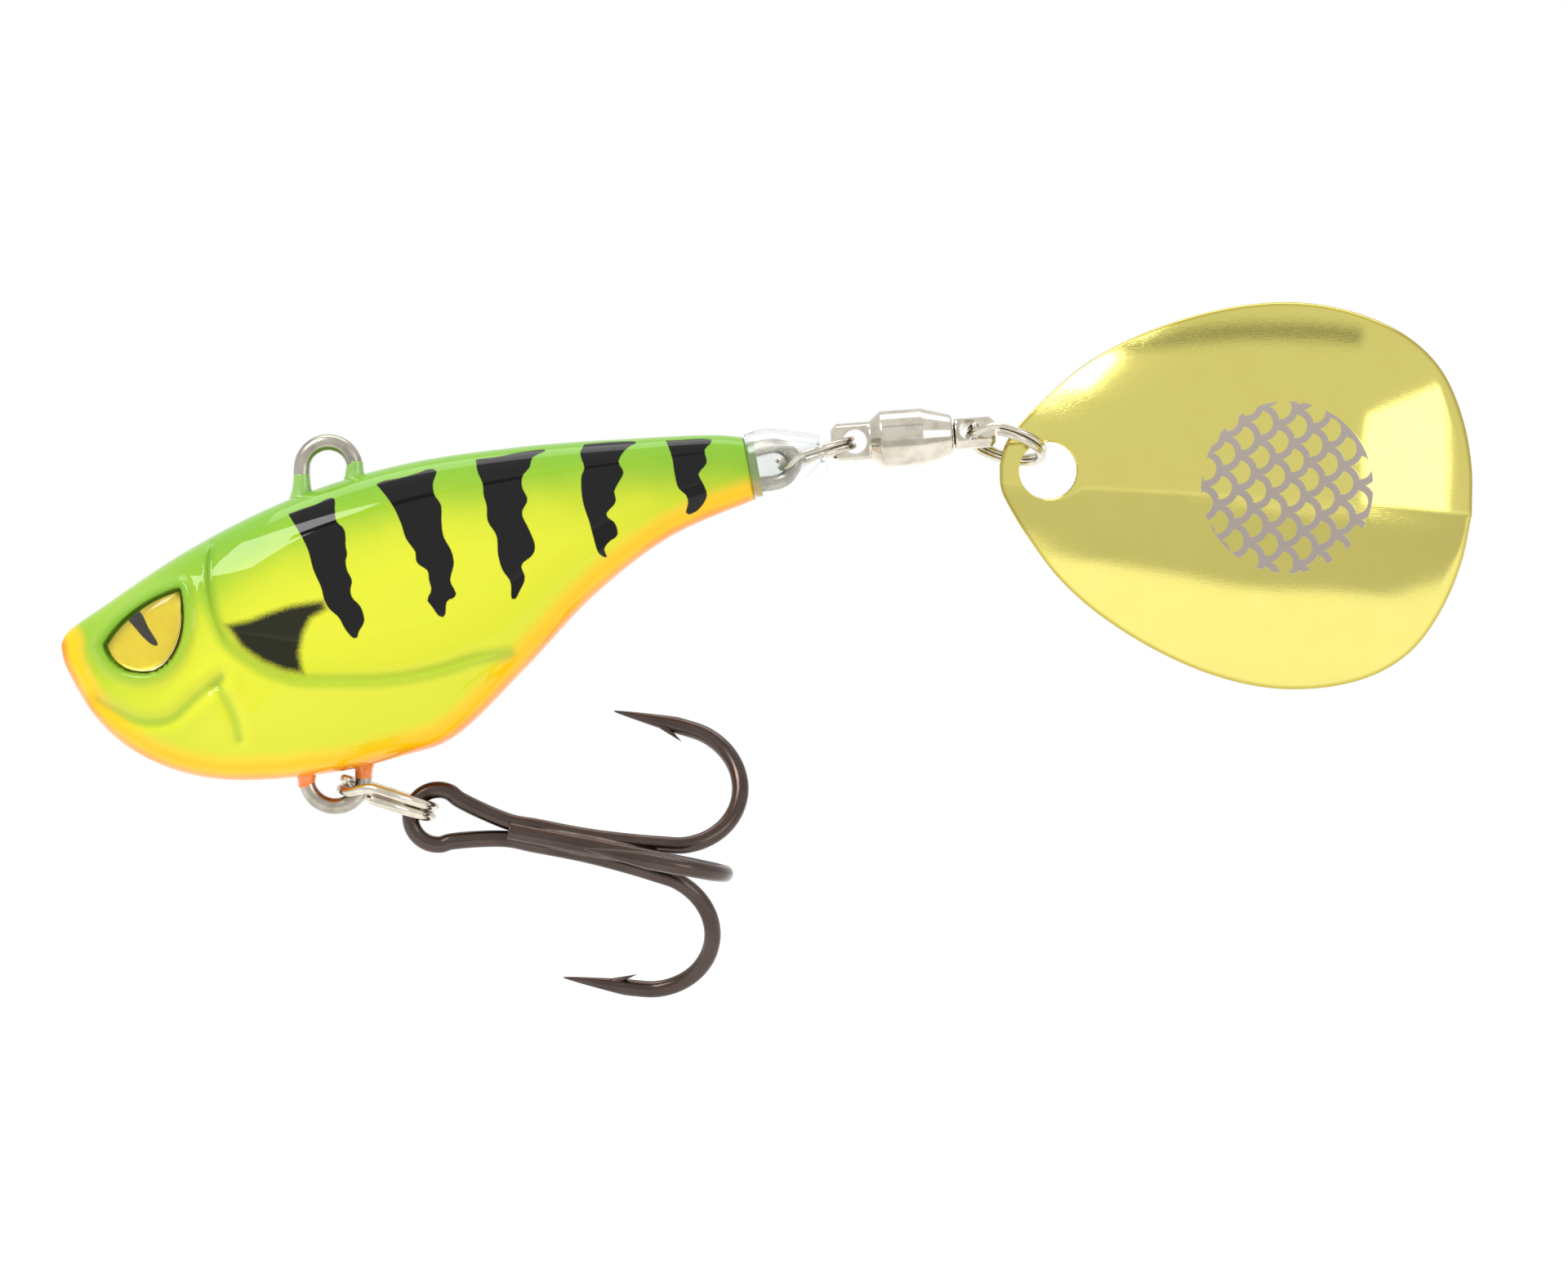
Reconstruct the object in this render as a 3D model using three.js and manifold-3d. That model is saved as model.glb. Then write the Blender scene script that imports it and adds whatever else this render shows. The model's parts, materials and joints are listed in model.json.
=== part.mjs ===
// Tail spinner lure: a painted casting on a wire frame, with a treble hook under
// the belly and a blade that turns behind the tail on a ball-bearing swivel.
// Millimetres. +X runs to the tail, +Z is up, Y runs across the lure, and the
// origin is the centre of the line tie. Every piece but the swivel and what hangs
// on the split rings is laid out in the lure's middle plane, y = 0.

import * as THREE from 'three';
import { mergeVertices } from 'three/addons/utils/BufferGeometryUtils.js';
import Module from 'manifold-3d';

const wasm = await Module();
wasm.setup();

// ---------------------------------------------------------------- driving sizes
const RUNNING_GAP = 0.05; // between a piece and the pocket or channel it sits in

// casting
const BODY_LENGTH = 41.9; // nose to tail face, along X
const NOSE_X = -16.35;
const HALF_WIDTH = 4.7; // at the gill plates, the widest place
const SECTION_POWER = 0.82; // below 1 flattens the flanks
const BODY_STATIONS = 30;
const BODY_SIDES = 24;
const STUB_LENGTH = 0.65; // plug on the tail face that the sleeve slips over
const STUB_HALF_HEIGHT = 1.77;

// bent wire frame
const FRAME_WIRE = 1.0; // diameter
const LINE_TIE_BEND = 1.62; // centreline radii of its three loops
const BELLY_EYE_BEND = 1.75;
const TAIL_EYE_BEND = 1.16;
const BELLY_EYE_X = 0.42;
const BELLY_EYE_DROP = 0.302; // its centre below the belly
const TAIL_EYE_CLEAR = 0.14; // between the tail face and the loop
const TAIL_EYE_HEIGHT = 0.3;
const TAIL_EYE_RISE = 10; // degrees, how far the tail loop points up

// eyes
const EYE_SHARE = 0.1229; // of the way along the body
const EYE_HEIGHT = -10.15;
const EYE_SIZE = 1; // scales the almond outline
const EYE_POCKET = 0.75; // depth of the socket under the flank
const FOIL_THICKNESS = 0.15;
const DOME_RISE = 0.3; // how far the clear dome stands proud of the flank
const DOME_RIM_SINK = 0.25; // how far its cap has fallen where the almond ends
const ALMOND_REACH = 2.9; // from the eye's middle to where the almond ends

// split rings: two coils side by side, of flattened wire
const SMALL_RING = { bend: 2.3, across: 0.48, thick: 0.4 };
const LARGE_RING = { bend: 2.85, across: 0.66, thick: 0.62 };
const COIL_GAP = 0.025; // between the two coils
const TAIL_RING_RISE = 17; // degrees
const BLADE_RING_DROP = 16.6;
const BELLY_RING_DROP = 17.5;
const TAIL_RING_PLAY = 0.12; // between the tail loop's inside and the ring
const BELLY_RING_SEAT = new THREE.Vector2(0.6, -0.24); // its coil inside the belly eye
const SPLIT_AT = 232; // degrees round the ring, where the wire crosses over
const SPLIT_CROSSING = 42; // degrees that the crossing takes
const SPLIT_END_GAP = 6; // degrees from the wire's end to the crossing

// clear sleeve
const SLEEVE_WALL = 0.25;
const SLEEVE_RING_ROOM = 0.31; // beside the tail ring, inside the sleeve's mouth
const SLEEVE_MOUTH_POWER = 0.62; // its mouth is squarer than the body
const SLEEVE_LIFT = 0.1; // its foot stands this far off the tail face all round

// ball-bearing swivel, measured along its own axis from the front eye
const SWIVEL_RISE = 4.2; // degrees
const SWIVEL_SEAT = new THREE.Vector2(0.1826, 0.0122); // front eye from the ring's far coil
const LUG_RADIUS = 1.17;
const LUG_HOLE = 0.74;
const LUG_FRONT = 1.45; // from the eye to the lug's front end
const LUG_HALF_FLAT = 0.7;
const LUG_CHAMFER = 0.35;
const SHOULDER_AT = 0.95;
const BARREL_AT = 1.62;
const BARREL_RADIUS = 1.75;
const SWAGE_AT = 4.15;
const BARREL_END = 6.0;
const SWAGE_END_RADIUS = 1.2;
const BARREL_WALL = 0.4;
const BEARING_AT = 3.2; // plane of the balls
const BALL_RADIUS = 0.33;
const BALL_COUNT = 7;
const PIN_RADIUS = 0.55;
const PIN_CLEARANCE = 0.08;
const HEAD_THICKNESS = 0.5;
const PIN_LUG_RADIUS = 0.95;
const PIN_LUG_HALF_FLAT = 0.65;
const PIN_LUG_HOLE = 0.66;
const PIN_LUG_LENGTH = 2.55;
const PIN_LUG_CHAMFER = 0.3;
const PIN_EYE_OUT = 1.01; // rear eye, from the start of its lug
const HEAD_CLEARANCE = 0.12; // round the pin's head, inside the barrel
const PIN_TURN = -20; // degrees, how the rear eye stands at rest

// blade
const BLADE_DROP = 5.9; // degrees
const BLADE_HANG = -69.465; // degrees, from the ring's far coil to the hole's centre
const BLADE_RING_PLAY = 0.482; // between the hole's edge and that coil
const BLADE_LENGTH = 29.1;
const BLADE_HALF_WIDTH = 11.85;
const BLADE_TIP = 2.95; // from the hole's centre to the tip
const BLADE_HOLE = 1.75;
const BLADE_THICKNESS = 0.65;
const BLADE_DEPTH = 3.2; // how far it is dished

// treble hook
const HOOK_WIRE = 1.04;
const TREBLE_SEAT = new THREE.Vector2(0.4391, -0.1831); // its eye from the ring's far coil
const TREBLE_DROP = 10.8; // degrees
const TREBLE_EYE_BEND = 1.68;
const SHANK_OFFSET = 0.62; // wire centre from the hook's axis
const SHANK_FLARE = 0.43; // how far the shank leans out before the bend
const BEND_AT = 13.7; // along the axis from the eye
const BEND_RADIUS = 4.2;
const POINT_AT = 9.3;
const TAPER_AT = 13.2;
const POINT_RADIUS = 0.03;
const BARB_AT = 12.3;
const BARB_LENGTH = 1.7;
const BARB_RADIUS = 0.26;

// ---------------------------------------------------------------- small helpers
const rad = THREE.MathUtils.degToRad;
const onPlane = (x, z) => new THREE.Vector3(x, 0, z);
const sloped = (degrees) => onPlane(Math.cos(rad(degrees)), Math.sin(rad(degrees)));
const ACROSS = new THREE.Vector3(0, 1, 0);

// a point moved along a slope and square to it, in the middle plane
function steppedFrom(start, degrees, step) {
  return start.clone()
    .addScaledVector(sloped(degrees), step.x)
    .addScaledVector(sloped(degrees + 90), step.y);
}

function material(colour, metalness, roughness, opacity = 1) {
  return new THREE.MeshStandardMaterial({
    color: colour,
    metalness,
    roughness,
    opacity,
    transparent: opacity < 1,
  });
}

function named(name, geometry, look) {
  const mesh = new THREE.Mesh(geometry, look);
  mesh.name = name;
  return mesh;
}

// a closed mesh through rings of points; `closed` joins the last ring to the first,
// otherwise both ends are capped with a fan
function loft(rings, closed = false) {
  const sides = rings[0].length;
  const points = rings.flat();
  const faces = [];
  const last = closed ? rings.length : rings.length - 1;
  for (let i = 0; i < last; i += 1) {
    const a = i * sides;
    const b = ((i + 1) % rings.length) * sides;
    for (let j = 0; j < sides; j += 1) {
      const k = (j + 1) % sides;
      faces.push(a + j, b + j, b + k, a + j, b + k, a + k);
    }
  }
  if (!closed) {
    const end = (rings.length - 1) * sides;
    for (const [start, flip] of [[0, false], [end, true]]) {
      const hub = points.length;
      const middle = new THREE.Vector3();
      for (let j = 0; j < sides; j += 1) middle.add(points[start + j]);
      points.push(middle.divideScalar(sides));
      for (let j = 0; j < sides; j += 1) {
        const k = (j + 1) % sides;
        if (flip) faces.push(hub, start + k, start + j);
        else faces.push(hub, start + j, start + k);
      }
    }
  }
  return facingOut(new THREE.BufferGeometry().setFromPoints(points).setIndex(faces));
}

// turns the faces round if the mesh is inside out
function facingOut(geometry) {
  const at = geometry.attributes.position;
  const index = geometry.index.array;
  const [a, b, c] = [new THREE.Vector3(), new THREE.Vector3(), new THREE.Vector3()];
  let volume = 0;
  for (let i = 0; i < index.length; i += 3) {
    a.fromBufferAttribute(at, index[i]);
    b.fromBufferAttribute(at, index[i + 1]);
    c.fromBufferAttribute(at, index[i + 2]);
    volume += a.dot(b.cross(c));
  }
  if (volume < 0) {
    for (let i = 0; i < index.length; i += 3) {
      [index[i + 1], index[i + 2]] = [index[i + 2], index[i + 1]];
    }
  }
  return geometry;
}

function toSolid(geometry) {
  const bare = geometry.clone();
  bare.deleteAttribute('normal');
  bare.deleteAttribute('uv');
  const merged = mergeVertices(bare, 1e-4);
  return new wasm.Manifold(new wasm.Mesh({
    numProp: 3,
    vertProperties: new Float32Array(merged.attributes.position.array),
    triVerts: new Uint32Array(merged.index.array),
  }));
}

function fromSolid(solid) {
  const mesh = solid.getMesh();
  const geometry = new THREE.BufferGeometry();
  geometry.setAttribute('position', new THREE.BufferAttribute(mesh.vertProperties, 3));
  geometry.setIndex(new THREE.BufferAttribute(mesh.triVerts, 1));
  return geometry;
}

// a round wire bent along a smooth line through the points
function wire(points, radius, steps, sides) {
  const section = new THREE.Shape();
  for (let j = 0; j < sides; j += 1) {
    const turn = (2 * Math.PI * j) / sides;
    const [x, y] = [radius * Math.cos(turn), radius * Math.sin(turn)];
    if (j === 0) section.moveTo(x, y);
    else section.lineTo(x, y);
  }
  section.closePath();
  const path = new THREE.CatmullRomCurve3(points, false, 'centripetal');
  return new THREE.ExtrudeGeometry(section, { steps, extrudePath: path, bevelEnabled: false });
}

// the same, but with a radius that changes along the wire
function taperedWire(points, radiusAt, steps, sides) {
  const path = new THREE.CatmullRomCurve3(points, false, 'centripetal');
  const frames = path.computeFrenetFrames(steps, false);
  const rings = [];
  for (let i = 0; i <= steps; i += 1) {
    const middle = path.getPointAt(i / steps);
    const radius = radiusAt(middle);
    rings.push(Array.from({ length: sides }, (_, j) => {
      const turn = (2 * Math.PI * j) / sides;
      return middle.clone()
        .addScaledVector(frames.normals[i], radius * Math.cos(turn))
        .addScaledVector(frames.binormals[i], radius * Math.sin(turn));
    }));
  }
  return loft(rings);
}

// points on an arc in the middle plane, angles in degrees from +X towards +Z
function arc(centre, radius, from, to, count) {
  return Array.from({ length: count }, (_, i) => {
    const turn = rad(from + ((to - from) * i) / (count - 1));
    return onPlane(centre.x + radius * Math.cos(turn), centre.z + radius * Math.sin(turn));
  });
}

// ---------------------------------------------------------------- casting shape
// back and belly lines as fractions of the length, in mm up from the line tie
const TAIL_X = NOSE_X + BODY_LENGTH;
const alongBody = (share) => NOSE_X + BODY_LENGTH * share;
const NOSE = [0, -10.7];
const BACK = [NOSE, [0.012, -9.9], [0.055, -8.6], [0.19, -4.85], [0.34, -1.75], [0.5, 0.3],
  [0.68, 1.4], [0.85, 1.9], [0.95, 2.08], [0.995, 1.95]];
const BELLY = [NOSE, [0.008, -12.2], [0.05, -15.2], [0.11, -17.4], [0.19, -18.75], [0.28, -19.1],
  [0.4, -18.6], [0.5, -17.6], [0.58, -16.3], [0.68, -12.2], [0.78, -7.75], [0.89, -4.2],
  [1.012, -1.95]];
const WIDTH = [[0, 0.2], [0.03, 0.42], [0.1, 0.7], [0.2, 0.92], [0.34, 1], [0.5, 0.96],
  [0.66, 0.82], [0.8, 0.66], [0.92, 0.52], [1, 0.47]];

const backLine = new THREE.SplineCurve(BACK.map(([s, z]) => new THREE.Vector2(alongBody(s), z)));
const bellyLine = new THREE.SplineCurve(BELLY.map(([s, z]) => new THREE.Vector2(alongBody(s), z)));
const widthLine = new THREE.SplineCurve(WIDTH.map(([s, w]) => new THREE.Vector2(s, w)));

// how far along, from 0 to 1, a measure that grows reaches the wanted value
function reaching(wanted, measure) {
  let [low, high] = [0, 1];
  for (let i = 0; i < 30; i += 1) {
    const middle = (low + high) / 2;
    if (measure(middle) < wanted) low = middle;
    else high = middle;
  }
  return low;
}

const heightOf = (line, x) => line.getPoint(reaching(x, (t) => line.getPoint(t).x)).y;
const halfWidthAt = (share) => HALF_WIDTH * heightOf(widthLine, share);

// rounded section between a top and a bottom point, square-shouldered as power falls
function section(top, bottom, halfWidth, power, sides, shift = 0) {
  const middle = top.clone().add(bottom).multiplyScalar(0.5);
  const up = top.clone().sub(bottom).multiplyScalar(0.5);
  const swell = (v) => Math.sign(v) * Math.abs(v) ** power;
  return Array.from({ length: sides }, (_, j) => {
    const turn = (2 * Math.PI * j) / sides;
    const [rise, across] = [swell(Math.sin(turn)), swell(Math.cos(turn))];
    return new THREE.Vector3(
      middle.x + shift + up.x * rise,
      halfWidth * across,
      middle.y + up.y * rise,
    );
  });
}

function bodySection(u) {
  const top = backLine.getPointAt(u);
  const bottom = bellyLine.getPointAt(u);
  const share = ((top.x + bottom.x) / 2 - NOSE_X) / BODY_LENGTH;
  return { top, bottom, halfWidth: halfWidthAt(Math.min(Math.max(share, 0), 1)) };
}

function castingBlank() {
  const rings = [];
  for (let i = 0; i <= BODY_STATIONS; i += 1) {
    const u = 0.004 + 0.996 * (i / BODY_STATIONS) ** 1.25;
    const { top, bottom, halfWidth } = bodySection(Math.min(u, 1));
    const opening = u < 0.08 ? Math.sqrt(u / 0.08) : 1;
    rings.push(section(top, bottom, halfWidth * opening, SECTION_POWER, BODY_SIDES));
  }
  const face = bodySection(1);
  const slim = STUB_HALF_HEIGHT / (face.top.distanceTo(face.bottom) / 2);
  const middle = face.top.clone().add(face.bottom).multiplyScalar(0.5);
  const top = middle.clone().lerp(face.top, slim);
  const bottom = middle.clone().lerp(face.bottom, slim);
  for (const shift of [0, STUB_LENGTH]) {
    rings.push(section(top, bottom, face.halfWidth * slim, SECTION_POWER, BODY_SIDES, shift));
  }
  return loft(rings);
}

// ---------------------------------------------------------------- wire frame
const BELLY_EYE = onPlane(BELLY_EYE_X, heightOf(bellyLine, BELLY_EYE_X) - BELLY_EYE_DROP);
const TAIL_EYE = onPlane(TAIL_X + TAIL_EYE_CLEAR + FRAME_WIRE / 2 + TAIL_EYE_BEND, TAIL_EYE_HEIGHT);

// one wire: up from its first end to the belly eye, through the casting to the
// line tie, back along the casting, round the tail eye and into the casting again
function framePoints() {
  const tailTurn = rad(TAIL_EYE_RISE);
  const tailAt = (along, up) => onPlane(
    TAIL_EYE.x + along * Math.cos(tailTurn) - up * Math.sin(tailTurn),
    TAIL_EYE.z + along * Math.sin(tailTurn) + up * Math.cos(tailTurn),
  );
  const origin = new THREE.Vector3();
  return [
    onPlane(BELLY_EYE.x + BELLY_EYE_BEND, BELLY_EYE.z + 5.4),
    onPlane(BELLY_EYE.x + BELLY_EYE_BEND, BELLY_EYE.z + 2.6),
    ...arc(BELLY_EYE, BELLY_EYE_BEND, 0, -180, 11),
    onPlane(BELLY_EYE.x - BELLY_EYE_BEND - 0.02, BELLY_EYE.z + 2.6),
    onPlane(-LINE_TIE_BEND, -9),
    onPlane(-LINE_TIE_BEND, -2.4),
    ...arc(origin, LINE_TIE_BEND, 180, 0, 11),
    onPlane(LINE_TIE_BEND, -1.5),
    onPlane(LINE_TIE_BEND + 0.05, -2.7),
    onPlane(LINE_TIE_BEND + 0.55, -3.9),
    onPlane(LINE_TIE_BEND + 1.8, -4.45),
    onPlane(LINE_TIE_BEND + 4, -4.2),
    onPlane(alongBody(0.7243), -2.4),
    onPlane(alongBody(0.8795), -0.4),
    tailAt(-2.6, TAIL_EYE_BEND - 0.22),
    tailAt(-1.1, TAIL_EYE_BEND - 0.06),
    ...Array.from({ length: 9 }, (_, i) => {
      const turn = rad(90 - 22.5 * i);
      return tailAt(TAIL_EYE_BEND * Math.cos(turn), TAIL_EYE_BEND * Math.sin(turn));
    }),
    tailAt(-1.1, 0.06 - TAIL_EYE_BEND),
    tailAt(-2.6, 0.22 - TAIL_EYE_BEND),
    tailAt(-4.6, 0.3 - TAIL_EYE_BEND),
  ];
}

const FRAME_STEPS = 84;
const frameWire = (radius) => wire(framePoints(), radius, FRAME_STEPS, 8);

// ---------------------------------------------------------------- eyes
const EYE_PLACE = new THREE.Vector2(alongBody(EYE_SHARE), EYE_HEIGHT);

// almond with its point up and towards the tail: x along the body and y up, corners
// with two control points between each
const ALMOND = [[2.25, 2.7], [0.6, 2.25], [-1.3, 1.1], [-2.3, -0.65], [-1.9, -2.0],
  [-0.4, -2.6], [0.9, -2.1], [2.3, -1.4], [2.8, 0.6], [2.25, 2.7]];

// frame on the flank at the eye: its Z points out of the body on the given side
function eyeFrame(side) {
  const flankAt = (dx, dz) => {
    const x = EYE_PLACE.x + dx;
    const z = EYE_PLACE.y + dz;
    const u = reaching(x, (t) => {
      const { top, bottom } = bodySection(t);
      return (top.x + bottom.x) / 2;
    });
    const { top, bottom, halfWidth } = bodySection(u);
    const rise = (z - (top.y + bottom.y) / 2) / ((top.y - bottom.y) / 2);
    const across = (1 - Math.abs(rise) ** (2 / SECTION_POWER)) ** (SECTION_POWER / 2);
    return new THREE.Vector3(x, side * halfWidth * across, z);
  };
  const along = flankAt(1, 0).sub(flankAt(-1, 0)).normalize();
  const up = flankAt(0, 1).sub(flankAt(0, -1));
  const out = new THREE.Vector3().crossVectors(along, up).normalize().multiplyScalar(-side);
  up.crossVectors(out, along);
  return new THREE.Matrix4().makeBasis(along, up, out).setPosition(flankAt(0, 0));
}

// almond block on one flank, between two heights over it; the left one's frame has its
// Y down, so its outline is drawn upside down
function eyePiece(side, scale, from, to) {
  const at = (i) => [ALMOND[i][0] * scale, -side * ALMOND[i][1] * scale];
  const outline = new THREE.Shape();
  outline.moveTo(...at(0));
  for (const i of [1, 4, 7]) outline.bezierCurveTo(...at(i), ...at(i + 1), ...at(i + 2));
  const block = new THREE.ExtrudeGeometry(outline, {
    depth: to - from,
    bevelEnabled: false,
    curveSegments: 7,
  });
  return block.translate(0, 0, from).applyMatrix4(eyeFrame(side));
}

const FOIL_SCALE = EYE_SIZE * (1 - RUNNING_GAP / 2);

function eyeDome(side) {
  const low = -EYE_POCKET + RUNNING_GAP + FOIL_THICKNESS + RUNNING_GAP;
  const blank = toSolid(eyePiece(side, FOIL_SCALE, low, DOME_RISE + 1));
  const reach = ALMOND_REACH * EYE_SIZE;
  const rise = DOME_RISE + DOME_RIM_SINK;
  const crown = (reach ** 2 + rise ** 2) / (2 * rise);
  const ball = new THREE.SphereGeometry(crown, 64, 48);
  ball.translate(0, 0, DOME_RISE - crown);
  ball.applyMatrix4(eyeFrame(side));
  return fromSolid(blank.intersect(toSolid(ball)));
}

// ---------------------------------------------------------------- casting
function castingGeometry() {
  let solid = toSolid(castingBlank());
  solid = solid.subtract(toSolid(frameWire(FRAME_WIRE / 2 + RUNNING_GAP)));
  for (const side of [-1, 1]) {
    solid = solid.subtract(toSolid(eyePiece(side, EYE_SIZE, -EYE_POCKET, EYE_POCKET + 2)));
  }
  return fromSolid(solid);
}

// ---------------------------------------------------------------- sleeve
// its upper and lower lines, in mm from the tail face's corners
const SLEEVE_TOP = [[0.1, 0.13], [0.85, 0.4], [1.95, 0.52], [3.35, 0.35], [4.65, 0.1]];
const SLEEVE_BOTTOM = [[0.1, -0.08], [0.8, -0.25], [1.9, 0.1], [3.2, 0.75], [4.5, 2.0]];

function sleeveGeometry() {
  const face = bodySection(1);
  const mouth = SMALL_RING.bend + SMALL_RING.across / 2 + SLEEVE_RING_ROOM + SLEEVE_WALL;
  const from = (corner, steps) => new THREE.SplineCurve(
    steps.map(([dx, dz]) => new THREE.Vector2(corner.x + dx, corner.y + dz)),
  );
  const top = from(face.top, SLEEVE_TOP);
  const bottom = from(face.bottom, SLEEVE_BOTTOM);
  const rings = [[], []];
  const steps = 9;
  const start = face.halfWidth + SLEEVE_LIFT;
  for (let i = 0; i <= steps; i += 1) {
    const u = i / steps;
    const [t, b] = [top.getPointAt(u), bottom.getPointAt(u)];
    const wide = start + (mouth - start) * Math.sin((u * Math.PI) / 2) ** 1.3;
    const power = THREE.MathUtils.lerp(SECTION_POWER, SLEEVE_MOUTH_POWER, u);
    const inset = SLEEVE_WALL / (t.distanceTo(b) / 2);
    const middle = t.clone().add(b).multiplyScalar(0.5);
    rings[0].push(section(t, b, wide, power, 24));
    rings[1].push(section(
      t.clone().lerp(middle, inset),
      b.clone().lerp(middle, inset),
      wide - SLEEVE_WALL,
      power,
      24,
    ));
  }
  return loft([...rings[0], ...rings[1].reverse()], true);
}

// ---------------------------------------------------------------- split rings
// wound round Z: the wire lies in one plane for most of a turn, crosses over to the
// next and lies there until it meets the crossing again
function splitRingGeometry({ bend, across, thick }) {
  const crossing = rad(SPLIT_CROSSING);
  const pitch = thick + COIL_GAP;
  const end = 4 * Math.PI - crossing - rad(SPLIT_END_GAP);
  const steps = 46;
  const rings = [];
  for (let i = 0; i <= steps; i += 1) {
    const turn = (end * i) / steps;
    const share = (turn - (2 * Math.PI - crossing)) / crossing;
    const lift = THREE.MathUtils.smoothstep(share, 0, 1) * pitch - pitch / 2;
    const round = turn + rad(SPLIT_AT) + crossing / 2;
    rings.push(Array.from({ length: 8 }, (_, j) => {
      const side = (2 * Math.PI * (j + 0.5)) / 8;
      const radius = bend + (across / 2) * Math.cos(side);
      return new THREE.Vector3(
        radius * Math.cos(round),
        radius * Math.sin(round),
        lift + (thick / 2) * Math.sin(side),
      );
    }));
  }
  return loft(rings);
}

// placed by where the ring's coil passes through the first piece that it joins
function splitRing(name, size, seat, along, across, look) {
  const ring = named(name, splitRingGeometry(size), look);
  const first = along.clone().normalize();
  const second = across.clone().addScaledVector(first, -across.dot(first)).normalize();
  const normal = new THREE.Vector3().crossVectors(first, second);
  ring.quaternion.setFromRotationMatrix(new THREE.Matrix4().makeBasis(first, second, normal));
  ring.position.copy(seat).addScaledVector(first, size.bend);
  return ring;
}

// where the ring's coil lies across from its seat
const farCoil = (seat, along, size) => seat.clone().addScaledVector(along, 2 * size.bend);

// ---------------------------------------------------------------- swivel
// turned parts: profile points are [radius, distance along the axis]
function turned(profile, segments) {
  const points = profile.map(([radius, along]) => new THREE.Vector2(radius, along));
  return new THREE.LatheGeometry(points, segments).rotateZ(-Math.PI / 2);
}

// flattens a lug on both sides and drills its eye across, along Y
function eyedLug(blank, { from, to, halfFlat, eyeAt, hole }) {
  let solid = toSolid(blank);
  for (const side of [-1, 1]) {
    const cheek = new THREE.BoxGeometry(to - from, 2, 6);
    cheek.translate((from + to) / 2, side * (halfFlat + 1), 0);
    solid = solid.subtract(toSolid(cheek));
  }
  const drill = new THREE.CylinderGeometry(hole, hole, 6, 24);
  drill.translate(eyeAt, 0, 0);
  return fromSolid(solid.subtract(toSolid(drill)));
}

function barrelGeometry() {
  const bore = BARREL_RADIUS - BARREL_WALL;
  const pinHole = PIN_RADIUS + PIN_CLEARANCE;
  const floor = BEARING_AT - BALL_RADIUS - 2 * RUNNING_GAP - HEAD_THICKNESS - RUNNING_GAP;
  const race = BEARING_AT + BALL_RADIUS + RUNNING_GAP;
  const blank = turned([
    [0, -LUG_FRONT],
    [LUG_RADIUS - LUG_CHAMFER, -LUG_FRONT],
    [LUG_RADIUS, LUG_CHAMFER - LUG_FRONT],
    [LUG_RADIUS, SHOULDER_AT],
    [BARREL_RADIUS, BARREL_AT],
    [BARREL_RADIUS, SWAGE_AT],
    [SWAGE_END_RADIUS + 0.03, BARREL_END - 0.12],
    [SWAGE_END_RADIUS - 0.1, BARREL_END],
    [pinHole, BARREL_END],
    [pinHole, race],
    [bore, race],
    [bore, floor],
    [0, floor],
  ], 24);
  return eyedLug(blank, {
    from: -LUG_FRONT - 0.2,
    to: SHOULDER_AT - 0.12,
    halfFlat: LUG_HALF_FLAT,
    eyeAt: 0,
    hole: LUG_HOLE,
  });
}

const PIN_LUG_AT = BARREL_END + RUNNING_GAP;
const PIN_EYE_AT = PIN_LUG_AT + PIN_EYE_OUT;

function shaftGeometry() {
  const bore = BARREL_RADIUS - BARREL_WALL;
  const headBack = BEARING_AT - BALL_RADIUS - RUNNING_GAP;
  const lugEnd = PIN_LUG_AT + PIN_LUG_LENGTH;
  const blank = turned([
    [0, headBack - HEAD_THICKNESS],
    [bore - HEAD_CLEARANCE, headBack - HEAD_THICKNESS],
    [bore - HEAD_CLEARANCE, headBack],
    [PIN_RADIUS, headBack],
    [PIN_RADIUS, PIN_LUG_AT],
    [PIN_LUG_RADIUS, PIN_LUG_AT + 0.1],
    [PIN_LUG_RADIUS, lugEnd - PIN_LUG_CHAMFER],
    [PIN_LUG_RADIUS - PIN_LUG_CHAMFER, lugEnd],
    [0, lugEnd],
  ], 24);
  return eyedLug(blank, {
    from: PIN_LUG_AT + 0.25,
    to: lugEnd + 0.2,
    halfFlat: PIN_LUG_HALF_FLAT,
    eyeAt: PIN_EYE_AT,
    hole: PIN_LUG_HOLE,
  });
}

function bearingBalls(look) {
  const pitch = (PIN_RADIUS + BARREL_RADIUS - BARREL_WALL) / 2;
  return Array.from({ length: BALL_COUNT }, (_, i) => {
    const round = new THREE.SphereGeometry(BALL_RADIUS, 10, 7);
    const ball = named(`bearing_ball_${i + 1}`, round, look());
    const turn = (2 * Math.PI * i) / BALL_COUNT;
    ball.position.set(BEARING_AT, pitch * Math.cos(turn), pitch * Math.sin(turn));
    return ball;
  });
}

// ---------------------------------------------------------------- blade
// outline in the blade's own plane: x from the hole's centre away from the tip, and
// the half width as a share of the widest
const BLADE_OUTLINE = [[-1, 0], [-0.92, 0.12], [-0.62, 0.24], [-0.25, 0.357], [0.45, 0.545],
  [1.35, 0.71], [2.7, 0.875], [4.0, 0.972], [5.2, 1], [6.4, 0.955], [7.3, 0.86], [7.95, 0.72],
  [8.45, 0.5], [8.75, 0.25], [8.86, 0]];

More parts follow.
